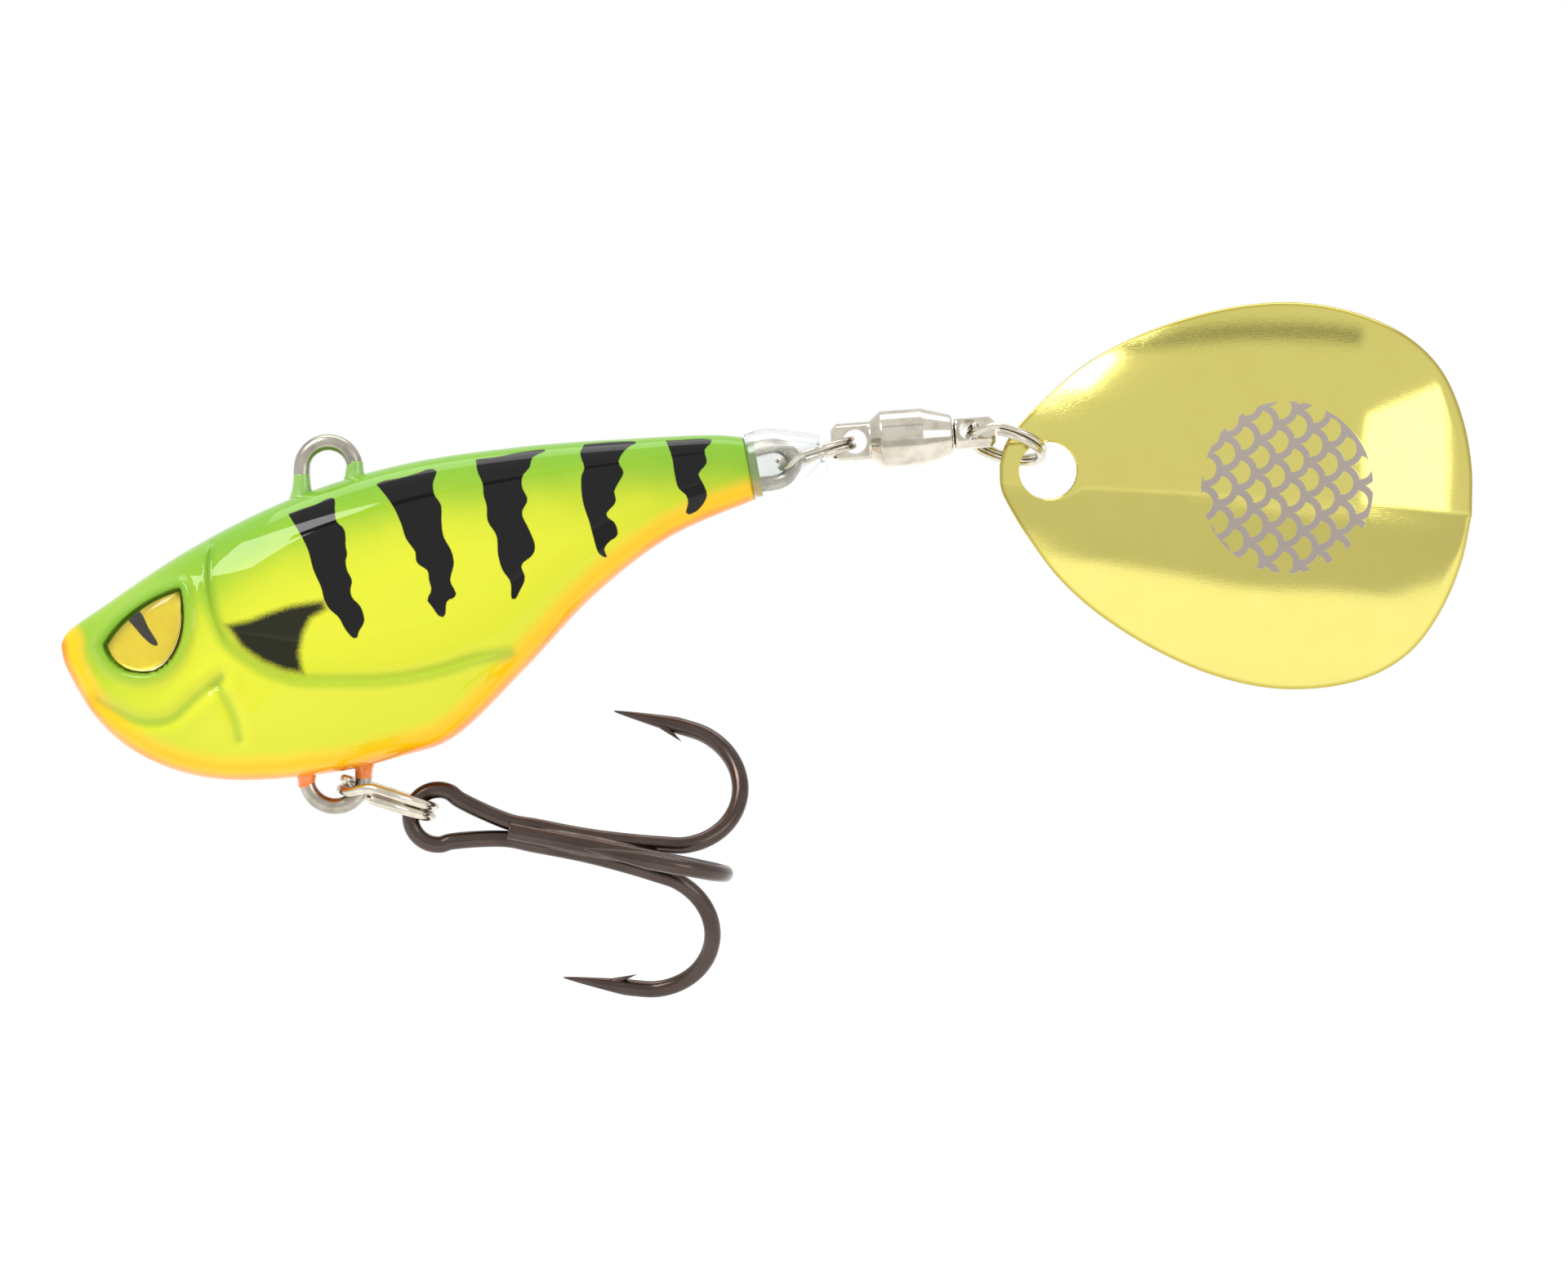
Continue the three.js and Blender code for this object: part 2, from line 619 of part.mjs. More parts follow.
function bladeGeometry() {
  const reach = (BLADE_LENGTH - BLADE_TIP) / BLADE_OUTLINE.at(-1)[0];
  const side = new THREE.CatmullRomCurve3(BLADE_OUTLINE.map(([along, share]) => {
    const x = along * (along < 0 ? BLADE_TIP : reach);
    return new THREE.Vector3(x, share * BLADE_HALF_WIDTH, 0);
  }));
  const half = side.getSpacedPoints(24);
  const otherHalf = half.slice(1, -1).reverse().map((p) => new THREE.Vector3(p.x, -p.y, 0));
  const outline = [...half, ...otherHalf];
  const middle = new THREE.Vector3(5 * reach, 0, 0);
  const dish = (share) => BLADE_DEPTH * (1 - share ** 2);
  const atHole = dish(middle.x / (middle.x + BLADE_TIP));
  const ring = (share, face) => outline.map((p) => {
    const spot = middle.clone().lerp(p, share);
    return new THREE.Vector3(spot.x, atHole - dish(share) + (face * BLADE_THICKNESS) / 2, spot.y);
  });
  const shares = [0.06, 0.25, 0.45, 0.65, 0.82, 0.93, 1];
  const rings = [...shares.map((s) => ring(s, -1)), ...shares.toReversed().map((s) => ring(s, 1))];
  const drill = new THREE.CylinderGeometry(BLADE_HOLE, BLADE_HOLE, 8, 32);
  return fromSolid(toSolid(loft(rings)).subtract(toSolid(drill)));
}

// ---------------------------------------------------------------- treble hook
// a hook's line from its bend to its point, out along `away` from the hook's axis
function hookPoints(away) {
  const out = (along, radius) => new THREE.Vector3(along, radius * away.y, radius * away.z);
  const middle = SHANK_OFFSET + SHANK_FLARE + BEND_RADIUS;
  const bend = Array.from({ length: 10 }, (_, i) => {
    const turn = rad(-90 + 20 * i);
    return out(BEND_AT + BEND_RADIUS * Math.cos(turn), middle + BEND_RADIUS * Math.sin(turn));
  });
  return [
    out(9.0, SHANK_OFFSET),
    out(11.4, SHANK_OFFSET + 0.16),
    ...bend,
    out(11.5, middle + BEND_RADIUS + 0.12),
    out(POINT_AT, middle + BEND_RADIUS + 0.2),
  ];
}

// full wire up to the taper, then down to a sharp point
function hookRadius(away) {
  return (spot) => {
    const radius = spot.y * away.y + spot.z * away.z;
    if (radius < BEND_RADIUS || spot.x > TAPER_AT) return HOOK_WIRE / 2;
    const share = (spot.x - POINT_AT) / (TAPER_AT - POINT_AT);
    return POINT_RADIUS + (HOOK_WIRE / 2 - POINT_RADIUS) * Math.max(share, 0) ** 0.8;
  };
}

// a spur that stands off the inside of the point, leaning back to the bend
function barb(away) {
  const root = SHANK_OFFSET + SHANK_FLARE + 2 * BEND_RADIUS - 0.1;
  const spur = new THREE.ConeGeometry(BARB_RADIUS, BARB_LENGTH, 8);
  spur.translate(0, BARB_LENGTH / 2, 0);
  const lean = new THREE.Vector3(0.84, -0.54 * away.y, -0.54 * away.z).normalize();
  spur.applyQuaternion(new THREE.Quaternion().setFromUnitVectors(ACROSS, lean));
  spur.translate(BARB_AT, root * away.y, root * away.z);
  return toSolid(spur);
}

const HOOK_SIDES = [1, -1].map((hand) => (
  new THREE.Vector3(0, Math.sin(rad(30)), hand * Math.cos(rad(30)))));
const NEAR_SIDE = new THREE.Vector3(0, -1, 0);

function doubleHookGeometry() {
  const [upper, lower] = HOOK_SIDES;
  const shank = (along, away) => onPlane(along, 0).addScaledVector(away, SHANK_OFFSET);
  const eye = Array.from({ length: 13 }, (_, i) => {
    const turn = rad(52 + ((308 - 52) * i) / 12);
    return onPlane(TREBLE_EYE_BEND * Math.cos(turn), TREBLE_EYE_BEND * Math.sin(turn));
  });
  const points = [
    ...hookPoints(upper).reverse(),
    shank(6, upper),
    shank(4.3, upper),
    ...eye,
    shank(4.3, lower),
    shank(6, lower),
    ...hookPoints(lower),
  ];
  const radiusAt = (spot) => Math.min(hookRadius(upper)(spot), hookRadius(lower)(spot));
  const bent = toSolid(taperedWire(points, radiusAt, 118, 8));
  return fromSolid(bent.add(barb(upper)).add(barb(lower)));
}

function singleHookGeometry() {
  const start = new THREE.Vector3(4.4, -SHANK_OFFSET, 0);
  const bent = toSolid(taperedWire([start, ...hookPoints(NEAR_SIDE)], hookRadius(NEAR_SIDE), 46, 8));
  return fromSolid(bent.add(barb(NEAR_SIDE)));
}

// ---------------------------------------------------------------- the lure
const paint = () => material(0xc4dd3a, 0, 0.25);
const stainless = () => material(0xb8b4a8, 1, 0.25);
const nickel = () => material(0xd0ccc0, 1, 0.15);
const gold = () => material(0xd9c768, 1, 0.12);
const blackNickel = () => material(0x5a5652, 1, 0.25);
const clear = () => material(0xe4e8e4, 0, 0.1, 0.45);

const lure = new THREE.Group();
lure.add(named('body_casting', castingGeometry(), paint()));
lure.add(named('wire_frame', frameWire(FRAME_WIRE / 2), stainless()));
lure.add(named('tail_sleeve', sleeveGeometry(), clear()));

for (const [hand, side] of [['right', -1], ['left', 1]]) {
  const low = -EYE_POCKET + RUNNING_GAP;
  const foil = eyePiece(side, FOIL_SCALE, low, low + FOIL_THICKNESS);
  lure.add(named(`${hand}_eye_foil`, foil, gold()));
  lure.add(named(`${hand}_eye_dome`, eyeDome(side), clear()));
}

// tail ring: its far coil bears on the inside of the tail eye's end
const tailDirection = sloped(TAIL_RING_RISE);
const tailEyeEnd = TAIL_EYE.clone().addScaledVector(sloped(TAIL_EYE_RISE), TAIL_EYE_BEND);
const tailSlack = FRAME_WIRE / 2 + SMALL_RING.across / 2 + TAIL_RING_PLAY;
const tailSeat = tailEyeEnd.clone().addScaledVector(tailDirection, -tailSlack);
lure.add(splitRing('tail_split_ring', SMALL_RING, tailSeat, tailDirection, ACROSS, nickel()));

const swivelEye = steppedFrom(
  farCoil(tailSeat, tailDirection, SMALL_RING),
  TAIL_RING_RISE,
  SWIVEL_SEAT,
);
const swivel = new THREE.Group();
swivel.position.copy(swivelEye);
swivel.rotation.y = -rad(SWIVEL_RISE);
lure.add(swivel);
swivel.add(named('swivel_barrel', barrelGeometry(), nickel()));
const shaft = named('swivel_shaft', shaftGeometry(), nickel());
shaft.rotation.x = rad(PIN_TURN);
swivel.add(shaft);
swivel.add(...bearingBalls(stainless));

// blade ring: it lies along the rear eye and slopes down to the blade
const rearEye = swivelEye.clone().addScaledVector(sloped(SWIVEL_RISE), PIN_EYE_AT);
const rearAcross = new THREE.Vector3(0, Math.cos(rad(PIN_TURN)), Math.sin(rad(PIN_TURN)));
const bladeDirection = sloped(-BLADE_RING_DROP);
lure.add(splitRing('blade_split_ring', SMALL_RING, rearEye, bladeDirection, rearAcross, nickel()));

const bladeHang = BLADE_HOLE - SMALL_RING.across / 2 - BLADE_RING_PLAY;
const blade = named('spinner_blade', bladeGeometry(), gold());
blade.position.copy(farCoil(rearEye, bladeDirection, SMALL_RING))
  .addScaledVector(sloped(BLADE_HANG), bladeHang);
blade.rotation.y = rad(BLADE_DROP);
lure.add(blade);

const bellyDirection = sloped(-BELLY_RING_DROP);
const bellySeat = steppedFrom(BELLY_EYE, -BELLY_RING_DROP, BELLY_RING_SEAT);
lure.add(splitRing('belly_split_ring', LARGE_RING, bellySeat, bellyDirection, ACROSS, nickel()));

const trebleEye = steppedFrom(
  farCoil(bellySeat, bellyDirection, LARGE_RING),
  -BELLY_RING_DROP,
  TREBLE_SEAT,
);
const treble = new THREE.Group();
treble.position.copy(trebleEye);
treble.rotation.y = rad(TREBLE_DROP);
treble.add(named('treble_double_hook', doubleHookGeometry(), blackNickel()));
treble.add(named('treble_single_hook', singleHookGeometry(), blackNickel()));
lure.add(treble);

export default lure;
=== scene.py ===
# %% [markdown]
# # A tail-spinner lure
# The lure is a painted casting with a wire line tie, a treble hook under the belly and
# a blade that turns behind the tail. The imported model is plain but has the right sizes.
# This lesson builds a finer piece for almost every part of it, from the same sizes in
# millimetres, and gives each one its finish. Hinges and boxes are read from the model.

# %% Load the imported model
import json
import math

import bmesh
import bpy
import numpy as np
from mathutils import Matrix, Vector


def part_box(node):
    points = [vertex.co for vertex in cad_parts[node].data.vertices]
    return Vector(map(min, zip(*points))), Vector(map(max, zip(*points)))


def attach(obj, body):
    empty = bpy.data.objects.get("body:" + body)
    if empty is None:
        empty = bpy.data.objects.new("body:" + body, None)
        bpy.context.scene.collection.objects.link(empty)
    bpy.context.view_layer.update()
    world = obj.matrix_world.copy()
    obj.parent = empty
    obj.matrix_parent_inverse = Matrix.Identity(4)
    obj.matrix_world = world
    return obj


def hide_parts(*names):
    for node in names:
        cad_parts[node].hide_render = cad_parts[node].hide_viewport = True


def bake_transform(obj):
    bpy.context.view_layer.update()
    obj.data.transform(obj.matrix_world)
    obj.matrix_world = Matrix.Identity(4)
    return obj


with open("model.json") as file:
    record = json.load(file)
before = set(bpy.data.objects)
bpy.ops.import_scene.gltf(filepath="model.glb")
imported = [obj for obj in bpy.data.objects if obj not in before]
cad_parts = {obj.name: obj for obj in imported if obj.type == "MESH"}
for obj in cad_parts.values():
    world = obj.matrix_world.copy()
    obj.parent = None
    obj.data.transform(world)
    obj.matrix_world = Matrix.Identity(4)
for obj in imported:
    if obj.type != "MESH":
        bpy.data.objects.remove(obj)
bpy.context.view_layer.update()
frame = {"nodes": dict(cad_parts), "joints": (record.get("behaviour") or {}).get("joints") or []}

# %% [markdown]
# The camera comes first, because everything is judged through it. The lure is seen
# square from its side. A long lens far away keeps the view nearly parallel, and still
# lets other views frame the lure by themselves. The standard view transform keeps bright
# lime and orange as strong as they are painted, where the default one turns them pale.

# %% Camera
MM = 0.001
VIEW_WIDTH = 96.0
VIEW_CENTRE = (27.9, -10.57)
LENS = 250.0

lens = bpy.data.cameras.new("side_camera")
lens.lens = LENS
lens.sensor_width = 36.0
lens.clip_start, lens.clip_end = 0.01, 20.0
camera = bpy.data.objects.new("side_camera", lens)
scene = bpy.context.scene
scene.collection.objects.link(camera)
camera_distance = VIEW_WIDTH * LENS / lens.sensor_width
camera.location = (VIEW_CENTRE[0] * MM, -camera_distance * MM, VIEW_CENTRE[1] * MM)
camera.rotation_euler = (math.pi / 2, 0, 0)
scene.camera = camera
scene.view_settings.view_transform = "Standard"
print("camera stands", round(camera_distance), "mm away")

# %% [markdown]
# Most pieces of the lure are wires, turned parts and shells, which are all rows of points
# round a line. So one helper makes a mesh from rings of points. Python works in
# millimetres, and the mesh is made in metres.

# %% Meshes from rings of points
def make_piece(name, points, faces, smooth=True):
    mesh = bpy.data.meshes.new(name)
    mesh.from_pydata((np.asarray(points, float) * MM).tolist(), [], faces)
    mesh.validate()
    mesh.update()
    mesh.polygons.foreach_set("use_smooth", [smooth] * len(mesh.polygons))
    piece = bpy.data.objects.new(name, mesh)
    scene.collection.objects.link(piece)
    return piece


def skin(rings, closed=False, first=0):
    """Points and faces through rings with equal counts; open ends get one face each."""
    rings = [np.asarray(r, float) for r in rings]
    sides = len(rings[0])
    faces = []
    for i in range(len(rings) if closed else len(rings) - 1):
        a, b = first + i * sides, first + ((i + 1) % len(rings)) * sides
        faces += [(a + j, b + j, b + (j + 1) % sides, a + (j + 1) % sides) for j in range(sides)]
    if not closed:
        end = first + (len(rings) - 1) * sides
        faces.append(tuple(first + j for j in range(sides)))
        faces.append(tuple(end + j for j in reversed(range(sides))))
    return np.vstack(rings), faces


def face_outwards(piece):
    """Turns every face of the piece to look outwards."""
    work = bmesh.new()
    work.from_mesh(piece.data)
    bmesh.ops.recalc_face_normals(work, faces=work.faces)
    work.to_mesh(piece.data)
    work.free()
    return piece


# %% Joining several skins into one piece
def join_skins(name, skins):
    points, faces = [], []
    for more_points, more_faces in skins:
        start = sum(len(p) for p in points)
        points.append(more_points)
        faces += [tuple(start + k for k in face) for face in more_faces]
    return face_outwards(make_piece(name, np.vstack(points), faces))


# %% [markdown]
# A wire is a round section carried along a smooth line. The section must not spin as the
# line turns, so each frame is the last one turned by the least amount.

# %% Smooth lines
FINE_STEPS = 24


def smooth_line(points, steps):
    """An even run of points on the centripetal spline through the given ones."""
    p = np.asarray(points, float)
    p = np.vstack([2 * p[0] - p[1], p, 2 * p[-1] - p[-2]])
    fine = []
    for i in range(1, len(p) - 2):
        knots = [0.0]
        for k in range(3):
            knots.append(knots[-1] + max(np.linalg.norm(p[i + k] - p[i + k - 1]) ** 0.5, 1e-6))
        t = np.linspace(knots[1], knots[2], FINE_STEPS, endpoint=False)[:, None]

        def between(a, b, low, high):
            return (high - t) / (high - low) * a + (t - low) / (high - low) * b

        a1 = between(p[i - 1], p[i], knots[0], knots[1])
        a2 = between(p[i], p[i + 1], knots[1], knots[2])
        a3 = between(p[i + 1], p[i + 2], knots[2], knots[3])
        b1 = between(a1, a2, knots[0], knots[2])
        b2 = between(a2, a3, knots[1], knots[3])
        fine.append(between(b1, b2, knots[1], knots[2]))
    fine = np.vstack([*fine, p[-2][None]])
    length = np.concatenate([[0], np.cumsum(np.linalg.norm(np.diff(fine, axis=0), axis=1))])
    at = np.linspace(0, length[-1], steps + 1)
    return np.stack([np.interp(at, length, fine[:, k]) for k in range(3)], axis=1)


# %% A round wire along a line
def wire_skin(line, radii, sides=20):
    line = np.asarray(line, float)
    radii = np.broadcast_to(radii, len(line))
    heading = np.gradient(line, axis=0)
    heading /= np.linalg.norm(heading, axis=1)[:, None]
    across = np.cross(heading[0], [0.3, 1.0, 0.2])
    turns = np.linspace(0, 2 * math.pi, sides, endpoint=False)
    rings = []
    for point, ahead, radius in zip(line, heading, radii):
        across = across - ahead * (across @ ahead)
        across /= np.linalg.norm(across)
        up = np.cross(ahead, across)
        ring = np.outer(np.cos(turns), across) + np.outer(np.sin(turns), up)
        rings.append(point + radius * ring)
    return skin(rings)


# %% [markdown]
# Shader nodes are easier to read as sums. `Value` stands for one socket and lets Python's
# own signs add the Math nodes. `Finish` starts a material, and its one method adds every
# other kind of node.

# %% Shader maths
class Value:
    def __init__(self, finish, socket):
        self.finish, self.socket = finish, socket

    def maths(self, operation, a, b):
        return self.finish.node("ShaderNodeMath", {"operation": operation}, {0: a, 1: b})

    def __add__(self, other):
        return self.maths("ADD", self, other)

    __radd__ = __add__

    def __sub__(self, other):
        return self.maths("SUBTRACT", self, other)

    def __rsub__(self, other):
        return self.maths("SUBTRACT", other, self)

    def __mul__(self, other):
        return self.maths("MULTIPLY", self, other)

    __rmul__ = __mul__

    def __truediv__(self, other):
        return self.maths("DIVIDE", self, other)

    def __rtruediv__(self, other):
        return self.maths("DIVIDE", other, self)


# %% Starting a finish
class Finish:
    def __init__(self, name):
        self.material = bpy.data.materials.new(name)
        self.material.use_nodes = True
        self.tree = self.material.node_tree
        self.shader = self.tree.nodes["Principled BSDF"]

    def node(self, kind, settings=None, inputs=None, out=0):
        made = self.tree.nodes.new(kind)
        for key, value in (settings or {}).items():
            if key == "stops":
                self.set_stops(made.color_ramp, value)
            else:
                setattr(made, key, value)
        for key, value in (inputs or {}).items():
            self.feed(made.inputs[key], value)
        return Value(self, made.outputs[out])

    def feed(self, socket, value):
        if isinstance(value, Value):
            self.tree.links.new(value.socket, socket)
        else:
            socket.default_value = value

    def set_stops(self, ramp, stops):
        while len(ramp.elements) < len(stops):
            ramp.elements.new(0.5)
        for element, (place, colour) in zip(ramp.elements, stops):
            element.position = place
            element.color = colour

    def set(self, **sockets):
        for key, value in sockets.items():
            self.feed(self.shader.inputs[key.replace("_", " ")], value)
        return self

    def attribute(self, name):
        return self.node("ShaderNodeAttribute", {"attribute_name": name}, out="Fac")

    def place_mm(self):
        """Where the surface is, in millimetres."""
        here = self.node("ShaderNodeTexCoord", out="Object")
        return self.node("ShaderNodeVectorMath", {"operation": "SCALE"}, {0: here, "Scale": 1000.0})

    def noise(self, scale, detail=3.0, stretch=(1.0, 1.0, 1.0)):
        """Soft blotches; scale is how many there are to a millimetre."""
        where = self.node("ShaderNodeVectorMath", {"operation": "MULTIPLY"},
                          {0: self.place_mm(), 1: stretch})
        return self.node("ShaderNodeTexNoise", {}, {"Vector": where, "Scale": scale, "Detail": detail})

    def fade(self, value, low, high):
        """0 where value is at low and 1 where it is at high, eased at both ends."""
        settings = {"interpolation_type": "SMOOTHSTEP"}
        inputs = {"Value": value, "From Min": low, "From Max": high, "To Min": 0.0, "To Max": 1.0}
        if low > high:
            inputs.update({"From Min": high, "From Max": low, "To Min": 1.0, "To Max": 0.0})
        return self.node("ShaderNodeMapRange", settings, inputs)

    def mix(self, share, a, b):
        """Colour a where share is 0 and colour b where it is 1."""
        return self.node("ShaderNodeMix", {"data_type": "RGBA"}, {0: share, 6: a, 7: b}, out=2)

    def bump(self, height, distance_mm, strength=1.0):
        inputs = {"Strength": strength, "Distance": distance_mm * MM, "Height": height}
        return self.node("ShaderNodeBump", {}, inputs)


# %% Colours
def colour(red, green, blue):
    """A colour from everyday 0 to 255 values."""
    def linear(v):
        v /= 255
        return v / 12.92 if v <= 0.04045 else ((v + 0.055) / 1.055) ** 2.4

    return (linear(red), linear(green), linear(blue), 1.0)


# %% [markdown]
# The casting's shape is three smooth lines: its back, its belly, and its half width. They
# are plain splines through a few points, given as a share of the length and a height.

# %% The casting's lines
NOSE_X, BODY_LENGTH, HALF_WIDTH = -16.35, 41.9, 4.7
SECTION_POWER = 0.82
NOSE = (0, -10.7)
BACK = [NOSE, (0.012, -9.9), (0.055, -8.6), (0.19, -4.85), (0.34, -1.75), (0.5, 0.3),
        (0.68, 1.4), (0.85, 1.9), (0.95, 2.08), (0.995, 1.95)]
BELLY = [NOSE, (0.008, -12.2), (0.05, -15.2), (0.11, -17.4), (0.19, -18.75), (0.28, -19.1),
         (0.4, -18.6), (0.5, -17.6), (0.58, -16.3), (0.68, -12.2), (0.78, -7.75), (0.89, -4.2),
         (1.012, -1.95)]
WIDTH = [(0, 0.2), (0.03, 0.42), (0.1, 0.7), (0.2, 0.92), (0.34, 1), (0.5, 0.96),
         (0.66, 0.82), (0.8, 0.66), (0.92, 0.52), (1, 0.47)]


def plain_spline(points, count=4000):
    p = np.asarray(points, float)
    t = np.linspace(0, len(p) - 1, count)
    i = np.minimum(t.astype(int), len(p) - 2)
    w = (t - i)[:, None]
    a, b = p[np.maximum(i - 1, 0)], p[i]
    c, d = p[i + 1], p[np.minimum(i + 2, len(p) - 1)]
    v0, v1 = (c - a) / 2, (d - b) / 2
    return (2 * b - 2 * c + v0 + v1) * w**3 + (3 * c - 3 * b - 2 * v0 - v1) * w**2 + v0 * w + b


def evenly(line, shares):
    length = np.concatenate([[0], np.cumsum(np.linalg.norm(np.diff(line, axis=0), axis=1))])
    at = np.asarray(shares) * length[-1]
    return np.stack([np.interp(at, length, line[:, k]) for k in range(line.shape[1])], axis=1)


back_line = plain_spline([(NOSE_X + BODY_LENGTH * s, z) for s, z in BACK])
belly_line = plain_spline([(NOSE_X + BODY_LENGTH * s, z) for s, z in BELLY])
width_line = plain_spline(WIDTH)
print("back line", len(back_line), "points")


# %% Sections of the casting
def swell(v, power):
    return np.sign(v) * np.abs(v) ** power


def section(top, bottom, half_width, power, sides, shift=0.0):
    turn = np.linspace(0, 2 * math.pi, sides, endpoint=False)
    rise, across = swell(np.sin(turn), power), swell(np.cos(turn), power)
    middle, up = (top + bottom) / 2, (top - bottom) / 2
    ahead, height = middle[0] + shift + up[0] * rise, middle[1] + up[1] * rise
    return np.stack([ahead, half_width * across, height], axis=1)


def body_section(u):
    top, bottom = evenly(back_line, [u])[0], evenly(belly_line, [u])[0]
    share = np.clip(((top[0] + bottom[0]) / 2 - NOSE_X) / BODY_LENGTH, 0, 1)
    return top, bottom, HALF_WIDTH * np.interp(share, width_line[:, 0], width_line[:, 1])


# %% [markdown]
# Distances to drawn lines do two jobs on this body. They shape the gill cover, the
# mouth and the eye socket, and they give the paint its crisp edges. A distance changes
# evenly over a surface, so a mesh can carry it, where a hard edge would turn jagged.

# %% Distance to a line and to an outline
def distance_to(points, line, closed=False):
    points, line = np.asarray(points, float), np.asarray(line, float)
    ends = np.roll(line, -1, axis=0) if closed else line[1:]
    starts = line if closed else line[:-1]
    best = np.full(len(points), 1e9)
    for a, b in zip(starts, ends):
        d = b - a
        t = np.clip(((points - a) @ d) / max(d @ d, 1e-12), 0, 1)
        best = np.minimum(best, np.linalg.norm(points - (a + t[:, None] * d), axis=1))
    return best


def signed_distance(points, outline):
    """Below 0 inside the outline and above 0 outside it."""
    x, z = np.asarray(points, float).T
    inside = np.zeros(len(x), bool)
    for (x0, z0), (x1, z1) in zip(outline, np.roll(outline, -1, axis=0)):
        crosses = (z0 > z) != (z1 > z)
        inside ^= crosses & (x < (x1 - x0) * (z - z0) / ((z1 - z0) if z1 != z0 else 1e-12) + x0)
    return distance_to(points, outline, closed=True) * np.where(inside, -1, 1)


# %% The painted marks and the modelled lines
BARS = [
    [(-2.33, -2.8), (-1.66, -2.55), (-0.6, -2.2), (0.03, -1.88), (0.46, -1.83), (0.53, -2.55),
     (0.63, -3.24), (1.09, -3.68), (1.21, -4.11), (1.23, -4.8), (1.33, -5.24), (1.23, -5.68),
     (1.35, -6.3), (1.63, -6.86), (1.53, -7.43), (1.65, -7.93), (2.09, -8.36), (2.38, -9.11),
     (2.35, -9.49), (2.05, -9.93), (1.94, -10.36), (1.71, -10.36), (1.21, -9.8), (0.84, -9.11),
     (0.28, -8.61), (-0.04, -8.05), (-0.23, -7.3), (-0.73, -6.18), (-1.04, -5.05), (-1.6, -3.93)],
    [(3.03, -0.99), (3.4, -0.8), (4.4, -0.61), (5.53, -0.3), (6.28, -0.05), (6.69, -0.15),
     (6.5, -0.93), (6.59, -1.61), (7.0, -2.24), (7.05, -3.3), (7.18, -4.18), (7.65, -5.05),
     (7.81, -5.8), (7.59, -6.93), (7.96, -7.61), (7.9, -7.86), (7.4, -8.11), (7.3, -8.93),
     (7.21, -9.08), (6.94, -9.05), (6.53, -8.49), (6.18, -7.99), (6.46, -7.49), (6.3, -6.8),
     (6.25, -6.3), (5.65, -5.86), (5.5, -5.61), (5.5, -5.18), (4.9, -4.3), (4.61, -3.43),
     (4.15, -2.43), (3.53, -1.55)],
    [(9.09, 0.55), (10.4, 0.7), (11.78, 0.98), (13.43, 1.13), (12.53, 0.64), (12.4, 0.08),
     (11.96, -0.49), (11.94, -1.18), (12.28, -1.93), (11.93, -2.74), (12.34, -3.68), (12.75, -4.8),
     (12.59, -5.3), (11.9, -5.93), (12.13, -6.68), (11.78, -7.55), (11.5, -8.03), (11.34, -8.03),
     (11.25, -6.93), (10.78, -6.24), (10.5, -5.3), (10.4, -4.11), (9.86, -3.24), (9.8, -2.3),
     (9.61, -1.68), (9.55, -0.99), (9.21, -0.18)],
    [(15.71, 1.48), (16.4, 1.54), (17.53, 1.63), (18.93, 1.6), (18.34, 1.26), (17.8, 0.39),
     (18.11, -0.24), (17.78, -0.93), (17.55, -1.43), (17.65, -2.05), (17.05, -2.86), (17.59, -3.36),
     (17.74, -4.11), (17.28, -4.45), (16.93, -4.95), (17.13, -5.45), (16.65, -5.24), (16.28, -4.18),
     (16.05, -3.3), (15.68, -2.18), (15.55, -1.18), (15.56, -0.49), (15.73, 0.01), (15.53, 0.64),
     (15.46, 0.95)],
    [(20.68, 1.7), (23.53, 1.7), (23.05, 1.14), (23.18, 0.33), (22.68, -0.36), (22.96, -0.93),
     (23.19, -1.61), (22.96, -2.18), (22.46, -2.68), (21.93, -2.8), (22.05, -2.11), (21.96, -1.68),
     (21.46, -1.2), (21.25, -0.43), (21.09, 0.58), (20.9, 1.2)],
]
GILL_PATCH = [(-6.1, -9.55), (-5.1, -10.93), (-3.85, -11.8), (-2.48, -12.36), (-1.29, -12.55),
              (-1.54, -11.3), (-1.29, -10.05), (-0.85, -9.18), (0.15, -8.61), (-0.1, -8.05),
              (-2.1, -8.36), (-3.48, -8.8), (-4.6, -9.24)]
GILL_LINE = [(-7.1, -4.68), (-7.23, -5.68), (-7.16, -7.43), (-6.91, -8.68), (-6.6, -9.55),
             (-5.98, -10.68), (-4.73, -11.68), (-3.1, -12.55), (-1.6, -12.93), (0.9, -12.99),
             (3.95, -12.9), (7.1, -12.3), (9.2, -11.6), (11.1, -11.3)]
MOUTH_LINE = [(-6.35, -12.8), (-7.85, -13.95), (-9.55, -15.35), (-11.4, -15.45), (-13.95, -14.2)]
JAW_LINE = [(-6.6, -13.15), (-5.55, -15.25), (-5.3, -16.5)]
PUPIL = [(-11.98, -9.36), (-11.29, -8.86), (-10.73, -9.8), (-10.2, -10.8), (-10.48, -10.8),
         (-11.1, -10.3), (-11.6, -9.74)]


def curved(points, count, closed=False):
    p = [(x, 0.0, z) for x, z in points]
    return smooth_line(p + [p[0]] if closed else p, count)[:, [0, 2]]


gill_curve = curved(GILL_LINE, 90)
mouth_curve, jaw_curve = curved(MOUTH_LINE, 40), curved(JAW_LINE, 40)
back_marks, belly_marks = back_line[::40], belly_line[::40]
print("marks:", len(BARS), "bars, a patch, a gill line, a mouth and a pupil")

# %% The almond eye
EYE_PLACE = (-11.2, -10.15)
EYE_POCKET, FOIL_THICKNESS, DOME_RISE, RUNNING_GAP = 0.75, 0.15, 0.3, 0.05
ALMOND = [((2.25, 2.7), (0.6, 2.25), (-1.3, 1.1), (-2.3, -0.65)),
          ((-2.3, -0.65), (-1.9, -2.0), (-0.4, -2.6), (0.9, -2.1)),
          ((0.9, -2.1), (2.3, -1.4), (2.8, 0.6), (2.25, 2.7))]


